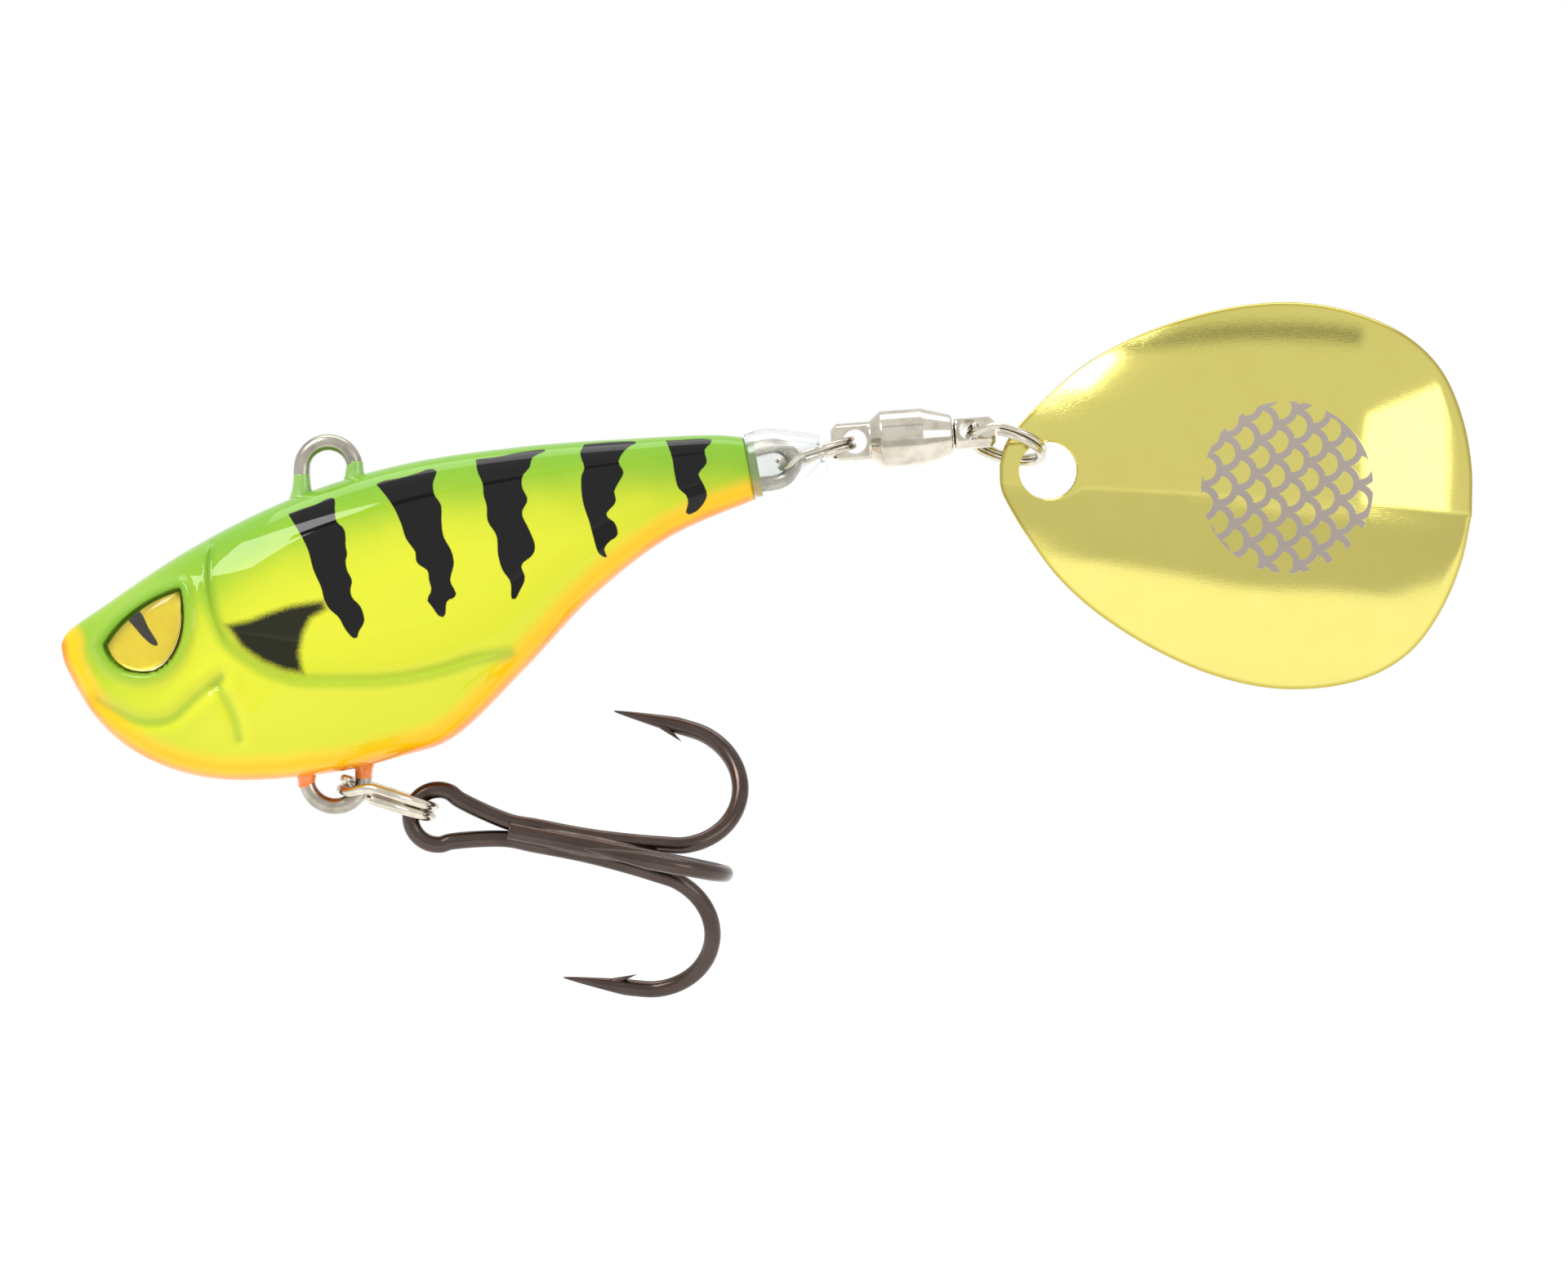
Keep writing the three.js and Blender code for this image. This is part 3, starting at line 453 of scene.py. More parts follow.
def almond(count=28):
    t = np.linspace(0, 1, count, endpoint=False)[:, None]
    arcs = []
    for corners in ALMOND:
        a, b, c, d = (np.array(p) for p in corners)
        arcs.append((1 - t) ** 3 * a + 3 * (1 - t) ** 2 * t * b + 3 * (1 - t) * t**2 * c + t**3 * d)
    return np.vstack(arcs)


eye_outline = almond() + EYE_PLACE


# %% [markdown]
# The casting is one closed shell, fine enough to carry its modelled lines. Points are
# moved in or out across the lure by small heights: a lip round the gill cover, a crease
# for the mouth, a soft edge inside the belly, and a socket with a raised rim for the eye.

# %% Heights on the flank
def ease(v):
    v = np.clip(v, 0, 1)
    return v * v * (3 - 2 * v)


GILL_LIP, GILL_DIP, MOUTH_DEPTH, JAW_DEPTH = 0.3, 0.26, 0.26, 0.18
BELLY_DIP, EYE_RIM, POCKET_ROOM = 0.09, 0.32, 0.03
BEHIND_GILL = [(14, -4), (6, 3), (-7.1, 3)]


def flank_lift(flat):
    """How far each spot of the flank is raised, below 0 where it is sunk."""
    far = distance_to(flat, gill_curve)
    inside = signed_distance(flat, np.vstack([gill_curve, BEHIND_GILL])) < 0
    ends = ease((11.4 - flat[:, 0]) / 3.5) * ease((-3.6 - flat[:, 1]) / 1.6)
    outside = ease((np.where(inside, -far, far) + 0.2) / 0.4)
    lip, dip = GILL_LIP * np.exp(-far / 1.5), GILL_DIP * np.exp(-far / 1.1)
    lift = ends * (outside * lip - (1 - outside) * dip)
    for line, depth in ((mouth_curve, MOUTH_DEPTH), (jaw_curve, JAW_DEPTH)):
        crease = distance_to(flat, line)
        groove, lips = np.exp(-((crease / 0.4) ** 2)), np.exp(-(((crease - 0.9) / 0.45) ** 2))
        lift += -depth * groove + 0.4 * depth * lips
    edge = distance_to(flat, belly_marks)
    lift += -BELLY_DIP * np.exp(-(((edge - 1.05) / 0.32) ** 2))
    eye = signed_distance(flat, eye_outline)
    rim = EYE_RIM * np.exp(-(((eye - 0.48) / 0.36) ** 2))
    lift += np.where(eye > 0.14, rim, rim * ease(eye / 0.14))
    return lift - (EYE_POCKET + POCKET_ROOM) * ease((0.16 - eye) / 0.14)


# %% Build the casting
BODY_RINGS, BODY_SIDES = 470, 300
STUB_LENGTH, STUB_HALF_HEIGHT = 0.65, 1.77


def casting_skin():
    rings = []
    for i in range(BODY_RINGS + 1):
        u = 0.002 + 0.998 * (i / BODY_RINGS) ** 1.12
        top, bottom, half_width = body_section(min(u, 1))
        opening = math.sqrt(u / 0.08) if u < 0.08 else 1.0
        rings.append(section(top, bottom, half_width * opening, SECTION_POWER, BODY_SIDES))
    top, bottom, half_width = body_section(1)
    middle, half = (top + bottom) / 2, np.linalg.norm(top - bottom) / 2
    for shrink, shift in ((0.985, 0.05), (0.95, 0.09), (STUB_HALF_HEIGHT / half, 0.1)):
        ends = [middle + (p - middle) * shrink for p in (top, bottom)]
        rings.append(section(*ends, half_width * shrink, SECTION_POWER, BODY_SIDES, shift))
    slim = STUB_HALF_HEIGHT / half
    ends = [middle + (p - middle) * slim for p in (top, bottom)]
    rings.append(section(*ends, half_width * slim, SECTION_POWER, BODY_SIDES, STUB_LENGTH))
    return skin(rings)


body_points, body_faces = casting_skin()
flat = body_points[:, [0, 2]]
side = np.sign(body_points[:, 1])
steepness = np.clip(np.abs(body_points[:, 1]) / 1.6, 0, 1)
body_points[:, 1] += side * flank_lift(flat) * ease(steepness)
casting = face_outwards(make_piece("painted_casting", body_points, body_faces))
print("casting:", len(body_points), "points")


# %% Distances that the paint reads
def carry(piece, name, values):
    layer = piece.data.attributes.new(name, "FLOAT", "POINT")
    layer.data.foreach_set("value", np.asarray(values, np.float32))


bars = np.min([signed_distance(flat, curved(b, 3 * len(b), closed=True)) for b in BARS], axis=0)
carry(casting, "to_bar", bars)
carry(casting, "to_patch", signed_distance(flat, np.array(GILL_PATCH)))
carry(casting, "to_back", distance_to(flat, back_marks))
carry(casting, "to_belly", distance_to(flat, belly_marks))
carry(casting, "to_gill", distance_to(flat, gill_curve))
carry(casting, "to_eye", signed_distance(flat, eye_outline))
carry(casting, "to_mouth", np.minimum(distance_to(flat, mouth_curve), distance_to(flat, jaw_curve)))
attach(casting, "body")
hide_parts("body_casting")

# %% [markdown]
# The paint is airbrushed: green over the back melts into chartreuse and yellow, and
# orange runs along the belly edge. Black bars were sprayed through a mask, so their edges
# are crisp, while the dark patch behind the gill is soft on its far side. A clear coat
# covers it all. Fine noise breaks every edge a little, as sprayed droplets do.

# %% Body paint
GREEN, LIME, YELLOW = colour(112, 162, 44), colour(158, 184, 36), colour(203, 206, 44)
ORANGE, SALMON, BLACK = colour(236, 182, 10), colour(234, 126, 20), colour(3, 4, 3)

paint = Finish("airbrushed_paint")
droplets = paint.noise(9.0, 4.0) - 0.5
drift = paint.noise(0.35, 2.0) - 0.5
from_back = paint.attribute("to_back") + droplets * 0.35 + drift * 1.2
from_belly = paint.attribute("to_belly") + droplets * 0.2 + drift * 0.3
along = paint.node("ShaderNodeSeparateXYZ", {}, {0: paint.place_mm()}, out=0)
head = paint.fade(along, -5.0, -14.0)
coat = paint.mix(paint.fade(from_back, 6.5, 0.8), YELLOW, LIME)
coat = paint.mix(paint.fade(from_back, 4.6, 0.2), coat, GREEN)
coat = paint.mix(head * 0.45, coat, LIME)
coat = paint.mix(paint.fade(from_belly, 1.9, 0.7), coat, ORANGE)
coat = paint.mix(paint.fade(from_belly, 0.6, 0.0), coat, SALMON)
# Darker green along the gill line and the mouth and jaw creases is painted shade in those grooves.
coat = paint.mix(paint.fade(paint.attribute("to_gill"), 0.7, 0.1) * 0.5, coat, GREEN)
coat = paint.mix(paint.fade(paint.attribute("to_mouth"), 0.45, 0.05) * 0.4, coat, GREEN)
coat = paint.mix(paint.fade(paint.attribute("to_eye"), 1.1, 0.2) * 0.75, coat, GREEN)
patch = paint.fade(paint.attribute("to_patch") + droplets * 0.3, 0.25, -0.35)
coat = paint.mix(patch * 0.985, coat, BLACK)
coat = paint.mix(paint.fade(paint.attribute("to_bar") + droplets * 0.04, 0.05, -0.03), coat, BLACK)
orange_peel = paint.bump(paint.noise(1.6, 2.0), 0.012, 0.5)
paint.set(Base_Color=coat, Roughness=paint.noise(2.5, 3.0) * 0.08 + 0.3, Coat_Weight=1.0,
          Coat_Roughness=0.04, Coat_IOR=1.36, Specular_IOR_Level=0.0, Normal=orange_peel)
casting.data.materials.append(paint.material)
print("paint nodes:", len(paint.tree.nodes))

# %% [markdown]
# Bare metal is never one even grey. Drawn wire has fine lines along it, polished plate
# has faint rubbing marks and soft tarnish, and black nickel shows brown where it is thin.
# One helper makes them all from a few numbers, so they stay alike where they should.

# %% Metal finishes
def metal(name, light, dark, roughness, blotch=0.8, lines=(1.0, 1.0, 1.0), depth=0.004):
    finish = Finish(name)
    tarnish = finish.fade(finish.noise(blotch, 4.0), 0.35, 0.7)
    scratches = finish.noise(14.0, 2.0, lines)
    finish.set(Base_Color=finish.mix(tarnish * 0.6, light, dark), Metallic=1.0,
               Roughness=scratches * 0.1 + tarnish * 0.06 + roughness,
               Normal=finish.bump(scratches, depth, 0.5))
    return finish.material


STAINLESS = metal("drawn_stainless", colour(176, 170, 158), colour(112, 108, 98), 0.2,
                  lines=(0.3, 1.0, 3.0))
NICKEL = metal("polished_nickel", colour(208, 202, 188), colour(160, 152, 134), 0.08)
STEEL_BALL = metal("ball_steel", colour(205, 205, 205), colour(160, 160, 160), 0.05)
BLACK_NICKEL = metal("black_nickel", colour(84, 73, 69), colour(64, 55, 51), 0.16, blotch=0.4)
SOLDER = metal("solder", colour(110, 100, 94), colour(72, 64, 60), 0.3, blotch=1.8, depth=0.02)
print("metals: stainless, nickel, ball steel, black nickel and solder")

# %% [markdown]
# One bent wire makes the line tie, the belly eye and the tail eye. Paint creeps up its
# feet where it leaves the casting, so small tapered collars cover those places.

# %% The wire frame
LINE_TIE_BEND, BELLY_EYE_BEND, TAIL_EYE_BEND, FRAME_WIRE = 1.62, 1.75, 1.16, 1.0
BELLY_EYE, TAIL_EYE, TAIL_EYE_RISE = (0.42, -18.9), (27.35, 0.3), 10.0


def arc(centre, radius, start, stop, count):
    turn = np.radians(np.linspace(start, stop, count))
    return [(centre[0] + radius * math.cos(t), 0, centre[1] + radius * math.sin(t)) for t in turn]


def tail_at(ahead, up):
    c, s = math.cos(math.radians(TAIL_EYE_RISE)), math.sin(math.radians(TAIL_EYE_RISE))
    return (TAIL_EYE[0] + ahead * c - up * s, 0, TAIL_EYE[1] + ahead * s + up * c)


BELLY_LEGS = BELLY_EYE[0] - BELLY_EYE_BEND, BELLY_EYE[0] + BELLY_EYE_BEND
frame_points = [
    (BELLY_LEGS[1], 0, BELLY_EYE[1] + 5.4), (BELLY_LEGS[1], 0, BELLY_EYE[1] + 2.6),
    *arc(BELLY_EYE, BELLY_EYE_BEND, 0, -180, 11), (BELLY_LEGS[0] - 0.02, 0, BELLY_EYE[1] + 2.6),
    (-LINE_TIE_BEND, 0, -9), (-LINE_TIE_BEND, 0, -2.4), *arc((0, 0), LINE_TIE_BEND, 180, 0, 11),
    (LINE_TIE_BEND, 0, -1.5), (LINE_TIE_BEND + 0.05, 0, -2.7), (LINE_TIE_BEND + 0.55, 0, -3.9),
    (LINE_TIE_BEND + 1.8, 0, -4.45), (LINE_TIE_BEND + 4, 0, -4.2), (14, 0, -2.4), (20.5, 0, -0.4),
    tail_at(-2.6, TAIL_EYE_BEND - 0.22), tail_at(-1.1, TAIL_EYE_BEND - 0.06),
    *[tail_at(TAIL_EYE_BEND * math.cos(t), TAIL_EYE_BEND * math.sin(t))
      for t in np.radians(np.linspace(90, -90, 9))],
    tail_at(-1.1, 0.06 - TAIL_EYE_BEND), tail_at(-2.6, 0.22 - TAIL_EYE_BEND),
    tail_at(-4.6, 0.3 - TAIL_EYE_BEND)]
FRAME_STEPS = 520
frame_line = smooth_line(frame_points, FRAME_STEPS)
frame_wire = join_skins("bent_wire", [wire_skin(frame_line, FRAME_WIRE / 2)])
frame_wire.data.materials.append(STAINLESS)
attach(frame_wire, "body")
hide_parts("wire_frame")

# %% Paint on the wire's feet
PAINT_FILM = 0.015


def foot(start, end, wide):
    """A collar of paint on the wire that widens by wide towards the casting."""
    line = smooth_line([start, ((start[0] + end[0]) / 2, 0, (start[2] + end[2]) / 2), end], 24)
    share = np.linspace(0, 1, len(line))
    return wire_skin(line, FRAME_WIRE / 2 + PAINT_FILM + wide * share**2, 28)


upper_feet = join_skins("line_tie_feet", [
    foot((-LINE_TIE_BEND, 0, -0.35), (-LINE_TIE_BEND, 0, -2.4), 0.5),
    foot((LINE_TIE_BEND, 0, 0.45), (LINE_TIE_BEND, 0, -1.3), 0.45)])
lower_feet = join_skins("belly_eye_feet", [
    foot((BELLY_LEGS[0], 0, -19.5), (BELLY_LEGS[0], 0, -18.3), 0.3),
    foot((BELLY_LEGS[1], 0, -18.95), (BELLY_LEGS[1], 0, -17.9), 0.25)])


def feet_paint(name, base, deep):
    finish = Finish(name)
    finish.set(Base_Color=finish.mix(finish.noise(2.2, 4.0), base, deep),
               Roughness=finish.noise(3.0) * 0.1 + 0.28, Coat_Weight=1.0, Coat_Roughness=0.05,
               Normal=finish.bump(finish.noise(2.0), 0.02, 0.6))
    return finish.material


for feet, finish in ((upper_feet, feet_paint("green_feet", GREEN, colour(140, 186, 84))),
                     (lower_feet, feet_paint("orange_feet", colour(226, 130, 50), SALMON))):
    feet.data.materials.append(finish)
    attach(feet, "body")
print("wire and painted feet made")

# %% [markdown]
# Each eye is a printed foil at the bottom of its socket with a clear dome over it. The
# dome is a shallow cap on almond-shaped walls. Both are built flat and then stood on the
# flank, on a frame found from the casting's own surface.

# %% Where an eye stands
def eye_frame(hand):
    def on_flank(dx, dz):
        x, z = EYE_PLACE[0] + dx, EYE_PLACE[1] + dz
        low, high = 0.0, 1.0
        for _ in range(30):
            middle = (low + high) / 2
            top, bottom, _ = body_section(middle)
            low, high = (middle, high) if (top[0] + bottom[0]) / 2 < x else (low, middle)
        top, bottom, half_width = body_section(low)
        rise = (z - (top[1] + bottom[1]) / 2) / ((top[1] - bottom[1]) / 2)
        across = (1 - abs(rise) ** (2 / SECTION_POWER)) ** (SECTION_POWER / 2)
        return np.array([x, hand * half_width * across, z])

    along = on_flank(1, 0) - on_flank(-1, 0)
    along /= np.linalg.norm(along)
    up = on_flank(0, 1) - on_flank(0, -1)
    out = np.cross(along, up)
    out *= np.sign(out[1] * hand) / np.linalg.norm(out)
    up = up - along * (up @ along) - out * (up @ out)
    return on_flank(0, 0), along, up / np.linalg.norm(up), out


def almond_slab(hand, low, high_at, scale):
    """A closed almond block from low up to a height that depends on how far out it is."""
    place, along, up, out = eye_frame(hand)
    edge = almond(40) * scale
    shares = np.concatenate([np.linspace(0.02, 0.95, 18), [0.985, 1.0]])
    rings = [[place + x * along + z * up + low * out for x, z in edge * s] for s in shares]
    rings += [[place + x * along + z * up + high_at(s) * out for x, z in edge * s] for s in shares[::-1]]
    return skin(rings)


# %% Build both eyes
FOIL_SCALE = 1 - RUNNING_GAP / 2
foil_low = -EYE_POCKET + RUNNING_GAP
foil_high = foil_low + FOIL_THICKNESS


def dome_height(share):
    """The dome's height, falling from its middle to a softened edge."""
    return DOME_RISE * (1 - share**2.2) - 0.02 - 0.1 * max(share - 0.95, 0) / 0.05


for name, hand in (("right", -1), ("left", 1)):
    foil = join_skins(name + "_foil", [almond_slab(hand, foil_low, lambda s: foil_high, FOIL_SCALE)])
    dome_skin = almond_slab(hand, foil_high + RUNNING_GAP, dome_height, FOIL_SCALE)
    dome = join_skins(name + "_dome", [dome_skin])
    spots = np.array([v.co for v in foil.data.vertices])[:, [0, 2]] / MM
    carry(foil, "to_pupil", signed_distance(spots, curved(PUPIL, 40, closed=True)))
    carry(foil, "to_edge", signed_distance(spots, eye_outline))
    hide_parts(name + "_eye_foil")
    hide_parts(name + "_eye_dome")
    for piece in (foil, dome):
        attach(piece, "body")
print("eyes built")

# %% Eye finishes
foil_finish = Finish("printed_foil")
to_edge, to_pupil = foil_finish.attribute("to_edge"), foil_finish.attribute("to_pupil")
grain = foil_finish.noise(3.5, 4.0)
gold = foil_finish.mix(grain, colour(252, 238, 40), colour(234, 212, 28))
gold = foil_finish.mix(foil_finish.fade(to_edge, -0.32, -0.08), gold, colour(176, 116, 16))
printed = foil_finish.mix(foil_finish.fade(to_pupil, 0.04, -0.03), gold, colour(8, 8, 8))
foil_finish.set(Base_Color=printed, Metallic=foil_finish.fade(to_pupil, -0.02, 0.04) * 0.3,
                Roughness=grain * 0.15 + 0.25, Specular_IOR_Level=0.1,
                Normal=foil_finish.bump(grain, 0.03, 0.6))
resin = Finish("clear_resin")
resin.set(Base_Color=resin.mix(resin.noise(0.8), colour(255, 252, 236), colour(255, 246, 214)),
          Roughness=resin.noise(2.0) * 0.02 + 0.01, Transmission_Weight=1.0, IOR=1.45,
          Normal=resin.bump(resin.noise(1.2), 0.003, 0.4))
for name in ("right", "left"):
    bpy.data.objects[name + "_foil"].data.materials.append(foil_finish.material)
    bpy.data.objects[name + "_dome"].data.materials.append(resin.material)

# %% [markdown]
# The clear sleeve slips over a stub on the tail and widens over the tail eye. It is soft
# vinyl.

# %% The sleeve
SLEEVE_WALL, SLEEVE_END_HALF_WIDTH, SLEEVE_END_POWER, STUB_PLAY = 0.25, 3.1, 0.62, 0.1
SLEEVE_TOP = ((0.1, 0.13), (0.85, 0.4), (1.95, 0.52), (3.35, 0.35), (4.65, 0.1))
SLEEVE_BOTTOM = ((0.1, -0.08), (0.8, -0.25), (1.9, 0.1), (3.2, 0.75), (4.5, 2.0))


def sleeve_skin():
    top_face, bottom_face, half_width = body_section(1)
    top = plain_spline([top_face + d for d in SLEEVE_TOP])
    bottom = plain_spline([bottom_face + d for d in SLEEVE_BOTTOM])
    outer, inner = [], []
    for u in np.linspace(0, 1, 60):
        t, b = evenly(top, [u])[0], evenly(bottom, [u])[0]
        start = half_width + STUB_PLAY
        wide = start + (SLEEVE_END_HALF_WIDTH - start) * math.sin(u * math.pi / 2) ** 1.3
        power = SECTION_POWER + (SLEEVE_END_POWER - SECTION_POWER) * u
        inset = SLEEVE_WALL / (np.linalg.norm(t - b) / 2)
        middle = (t + b) / 2
        outer.append(section(t, b, wide, power, 72))
        ends = [p + (middle - p) * inset for p in (t, b)]
        inner.append(section(*ends, wide - SLEEVE_WALL, power, 72))
    return skin(outer + inner[::-1], closed=True)


sleeve = join_skins("clear_sleeve", [sleeve_skin()])
vinyl = Finish("soft_vinyl")
vinyl.set(Base_Color=vinyl.mix(vinyl.noise(0.7, 3.0), colour(252, 253, 252), colour(240, 243, 241)),
          Roughness=vinyl.noise(1.5) * 0.06 + 0.03, Transmission_Weight=0.96, IOR=1.4,
          Normal=vinyl.bump(vinyl.noise(1.1), 0.03, 0.4))
sleeve.data.materials.append(vinyl.material)
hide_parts("tail_sleeve")
hinge_at = {joint["name"]: joint["pos_m"] for joint in frame["joints"]}
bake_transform(sleeve)

# %% [markdown]
# A split ring is one flattened wire wound twice round. It lies flat for most of a turn
# and then steps across to the next coil, and that step is where a hook is threaded on.

# %% Split rings
SMALL_RING = dict(bend=2.3, across=0.48, thick=0.4)
LARGE_RING = dict(bend=2.85, across=0.66, thick=0.62)
COIL_GAP, SPLIT_AT, CROSSING, END_GAP, WIRE_SQUARENESS = 0.025, 232.0, 42, 6, 0.86


def ring_skin(size, seat, first, across):
    crossing = math.radians(CROSSING)
    end = 4 * math.pi - crossing - math.radians(END_GAP)
    first = first / np.linalg.norm(first)
    second = across - first * (across @ first)
    second /= np.linalg.norm(second)
    normal, centre = np.cross(first, second), seat + first * size["bend"]
    around = np.linspace(0, 2 * math.pi, 16, endpoint=False)
    rings = []
    for turn in np.linspace(0, end, 420):
        stepped = ease((turn - (2 * math.pi - crossing)) / crossing) - 0.5
        lift = stepped * (size["thick"] + COIL_GAP)
        round_at = turn + math.radians(SPLIT_AT) + crossing / 2
        radius = size["bend"] + size["across"] / 2 * swell(np.cos(around), WIRE_SQUARENESS)
        height = lift + size["thick"] / 2 * swell(np.sin(around), WIRE_SQUARENESS)
        rings.append(centre + np.outer(radius * math.cos(round_at), first)
                     + np.outer(radius * math.sin(round_at), second) + np.outer(height, normal))
    return skin(rings)


def sloped(degrees):
    return np.array([math.cos(math.radians(degrees)), 0, math.sin(math.radians(degrees))])


# %% Hang the three rings
SWIVEL_EYE, SWIVEL_RISE = np.array([32.24, 0, 1.66]), 4.2
PIN_EYE_AT, PIN_TURN = 7.06, -20.0
TAIL_HANG, BLADE_RING_HANG, BELLY_HANG = 17, -16.6, -17.5
tail_eye_end = np.array([TAIL_EYE[0], 0, TAIL_EYE[1]]) + TAIL_EYE_BEND * sloped(TAIL_EYE_RISE)
tail_wires = FRAME_WIRE / 2 + SMALL_RING["across"] / 2 + 2.4 * RUNNING_GAP
tail_seat = tail_eye_end - tail_wires * sloped(TAIL_HANG)
rear_eye = SWIVEL_EYE + PIN_EYE_AT * sloped(SWIVEL_RISE)
rear_across = np.array([0, math.cos(math.radians(PIN_TURN)), math.sin(math.radians(PIN_TURN))])
belly_seat = np.array([BELLY_EYE[0], 0, BELLY_EYE[1]])
belly_seat = belly_seat + 0.6 * sloped(BELLY_HANG) - 0.24 * sloped(BELLY_HANG + 90)
SIDEWAYS = np.array([0.0, 1.0, 0.0])
for name, size, seat, first, across, body in (
        ("tail", SMALL_RING, tail_seat, sloped(TAIL_HANG), SIDEWAYS, "tail_ring"),
        ("blade", SMALL_RING, rear_eye, sloped(BLADE_RING_HANG), rear_across, "blade_ring"),
        ("belly", LARGE_RING, belly_seat, sloped(BELLY_HANG), SIDEWAYS, "belly_ring")):
    ring = join_skins(name + "_ring", [ring_skin(size, seat, first, across)])
    ring.data.materials.append(NICKEL)
    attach(ring, body)
    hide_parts(name + "_split_ring")
print("rings hung")

# %% [markdown]
# The swivel is turned brass under nickel. Its profile is spun round the axis, its lugs
# are filed flat on both cheeks, and an eye is drilled through each lug. The cuts are made
# with booleans, as a mill would.

# %% Turned parts
def lathe(profile, segments=96):
    turns = np.linspace(0, 2 * math.pi, segments, endpoint=False)
    points, faces, rows = [], [], []
    for radius, ahead in profile:
        if radius < 1e-6:
            rows.append([len(points)] * segments)
            points.append((ahead, 0, 0))
        else:
            rows.append(list(range(len(points), len(points) + segments)))
            points += [(ahead, radius * math.cos(t), radius * math.sin(t)) for t in turns]
    for a, b in zip(rows, rows[1:]):
        for j in range(segments):
            k = (j + 1) % segments
            corners = list(dict.fromkeys([a[j], b[j], b[k], a[k]]))
            if len(corners) > 2:
                faces.append(tuple(corners))
    return np.array(points, float), faces


def softened(profile, radius=0.07):
    """Rounds the profile's corners so that edges catch the light."""
    p = [np.array(q, float) for q in profile]
    out = [p[0]]
    for a, b, c in zip(p, p[1:], p[2:]):
        before, after = a - b, c - b
        r = min(radius, np.linalg.norm(before) * 0.4, np.linalg.norm(after) * 0.4)
        start, end = b + before / np.linalg.norm(before) * r, b + after / np.linalg.norm(after) * r
        out += [(1 - t) ** 2 * start + 2 * t * (1 - t) * b + t * t * end for t in (0, 0.25, 0.5, 0.75, 1)]
    return [tuple(q) for q in [*out, p[-1]]]


# %% Filing and drilling
def cut(piece, points, faces):
    tool = face_outwards(make_piece("cutter", points, faces, smooth=False))
    step = piece.modifiers.new("cut", "BOOLEAN")
    step.operation, step.solver, step.object = "DIFFERENCE", "EXACT", tool
    bpy.context.view_layer.update()
    done = piece.evaluated_get(bpy.context.evaluated_depsgraph_get())
    mesh = bpy.data.meshes.new_from_object(done)
    piece.modifiers.clear()
    piece.data = mesh
    bpy.data.objects.remove(tool)


def block(x0, x1, y0, y1, z0, z1):
    corners = [(x, y, z) for x in (x0, x1) for y in (y0, y1) for z in (z0, z1)]
    faces = [(0, 1, 3, 2), (4, 6, 7, 5), (0, 4, 5, 1), (2, 3, 7, 6), (0, 2, 6, 4), (1, 5, 7, 3)]
    return np.array(corners, float), faces


def drill(ahead, radius):
    turns = np.linspace(0, 2 * math.pi, 64, endpoint=False)
    rings = [[(ahead + radius * math.cos(t), y, radius * math.sin(t)) for t in turns]
             for y in (-3, 3)]
    return skin(rings)


def swivel_part(name, profile, lug, half_flat, eye_at, hole):
    """A turned part along X with filed lugs and a drilled eye; X is 0 at the front eye."""
    piece = face_outwards(make_piece(name, *lathe(profile)))
    for hand in (-1, 1):
        cheek = sorted((hand * half_flat, hand * (half_flat + 2)))
        cut(piece, *block(lug[0], lug[1], *cheek, -3, 3))
    cut(piece, *drill(eye_at, hole))
    for face in piece.data.polygons:
        face.use_smooth = True
    piece.data.set_sharp_from_angle(angle=math.radians(32))
    return piece


# %% The swivel's two pieces
LUG_RADIUS, BARREL_RADIUS, BARREL_WALL = 1.17, 1.75, 0.4
BALL_RADIUS, PIN_RADIUS = 0.33, 0.55
BEARING_AT, BARREL_END, PIN_LUG_RADIUS = 3.2, 6.0, 0.95
bore, pin_hole = BARREL_RADIUS - BARREL_WALL, PIN_RADIUS + 0.08
HEAD_THICKNESS = 0.5
bore_floor = BEARING_AT - BALL_RADIUS - 2 * RUNNING_GAP - HEAD_THICKNESS - RUNNING_GAP
outer_profile = softened([
    (0, -1.45), (0.82, -1.45), (LUG_RADIUS, -1.1), (LUG_RADIUS, 0.95), (BARREL_RADIUS, 1.62),
    (BARREL_RADIUS, 4.15), (1.23, 5.88), (1.1, BARREL_END), (pin_hole, BARREL_END)])
inner_profile = [(pin_hole, 3.58), (bore, 3.58), (bore, bore_floor), (0, bore_floor)]
barrel = swivel_part("swivel_housing", outer_profile + inner_profile, (-1.65, 0.83), 0.7, 0.0, 0.74)

head_back, lug_at = BEARING_AT - BALL_RADIUS - RUNNING_GAP, BARREL_END + RUNNING_GAP
head_front, head_radius = head_back - HEAD_THICKNESS, bore - 0.12
pin_profile = [(0, head_front), (head_radius, head_front), (head_radius, head_back),
               (PIN_RADIUS, head_back)]
pin_profile += softened([
    (PIN_RADIUS, lug_at), (PIN_LUG_RADIUS, lug_at + 0.1), (PIN_LUG_RADIUS, lug_at + 2.25),
    (PIN_LUG_RADIUS - 0.3, lug_at + 2.55), (0, lug_at + 2.55)])
pin_flats = (lug_at + 0.25, lug_at + 2.75)
pin = swivel_part("swivel_pin", pin_profile, pin_flats, 0.65, PIN_EYE_AT, 0.66)

stand = Matrix.Translation(Vector(SWIVEL_EYE * MM)) @ Matrix.Rotation(-math.radians(SWIVEL_RISE), 4, "Y")
barrel.data.transform(stand)
pin.data.transform(stand @ Matrix.Rotation(math.radians(PIN_TURN), 4, "X"))
for piece, body, node in ((barrel, "swivel", "swivel_barrel"), (pin, "shaft", "swivel_shaft")):
    piece.data.materials.clear()
    piece.data.materials.append(NICKEL)
    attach(piece, body)
    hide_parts(node)
for number in range(1, 8):
    ball = frame["nodes"][f"bearing_ball_{number}"]
    ball.data.materials.clear()
    ball.data.materials.append(STEEL_BALL)
print("swivel:", len(barrel.data.polygons), "and", len(pin.data.polygons), "faces")

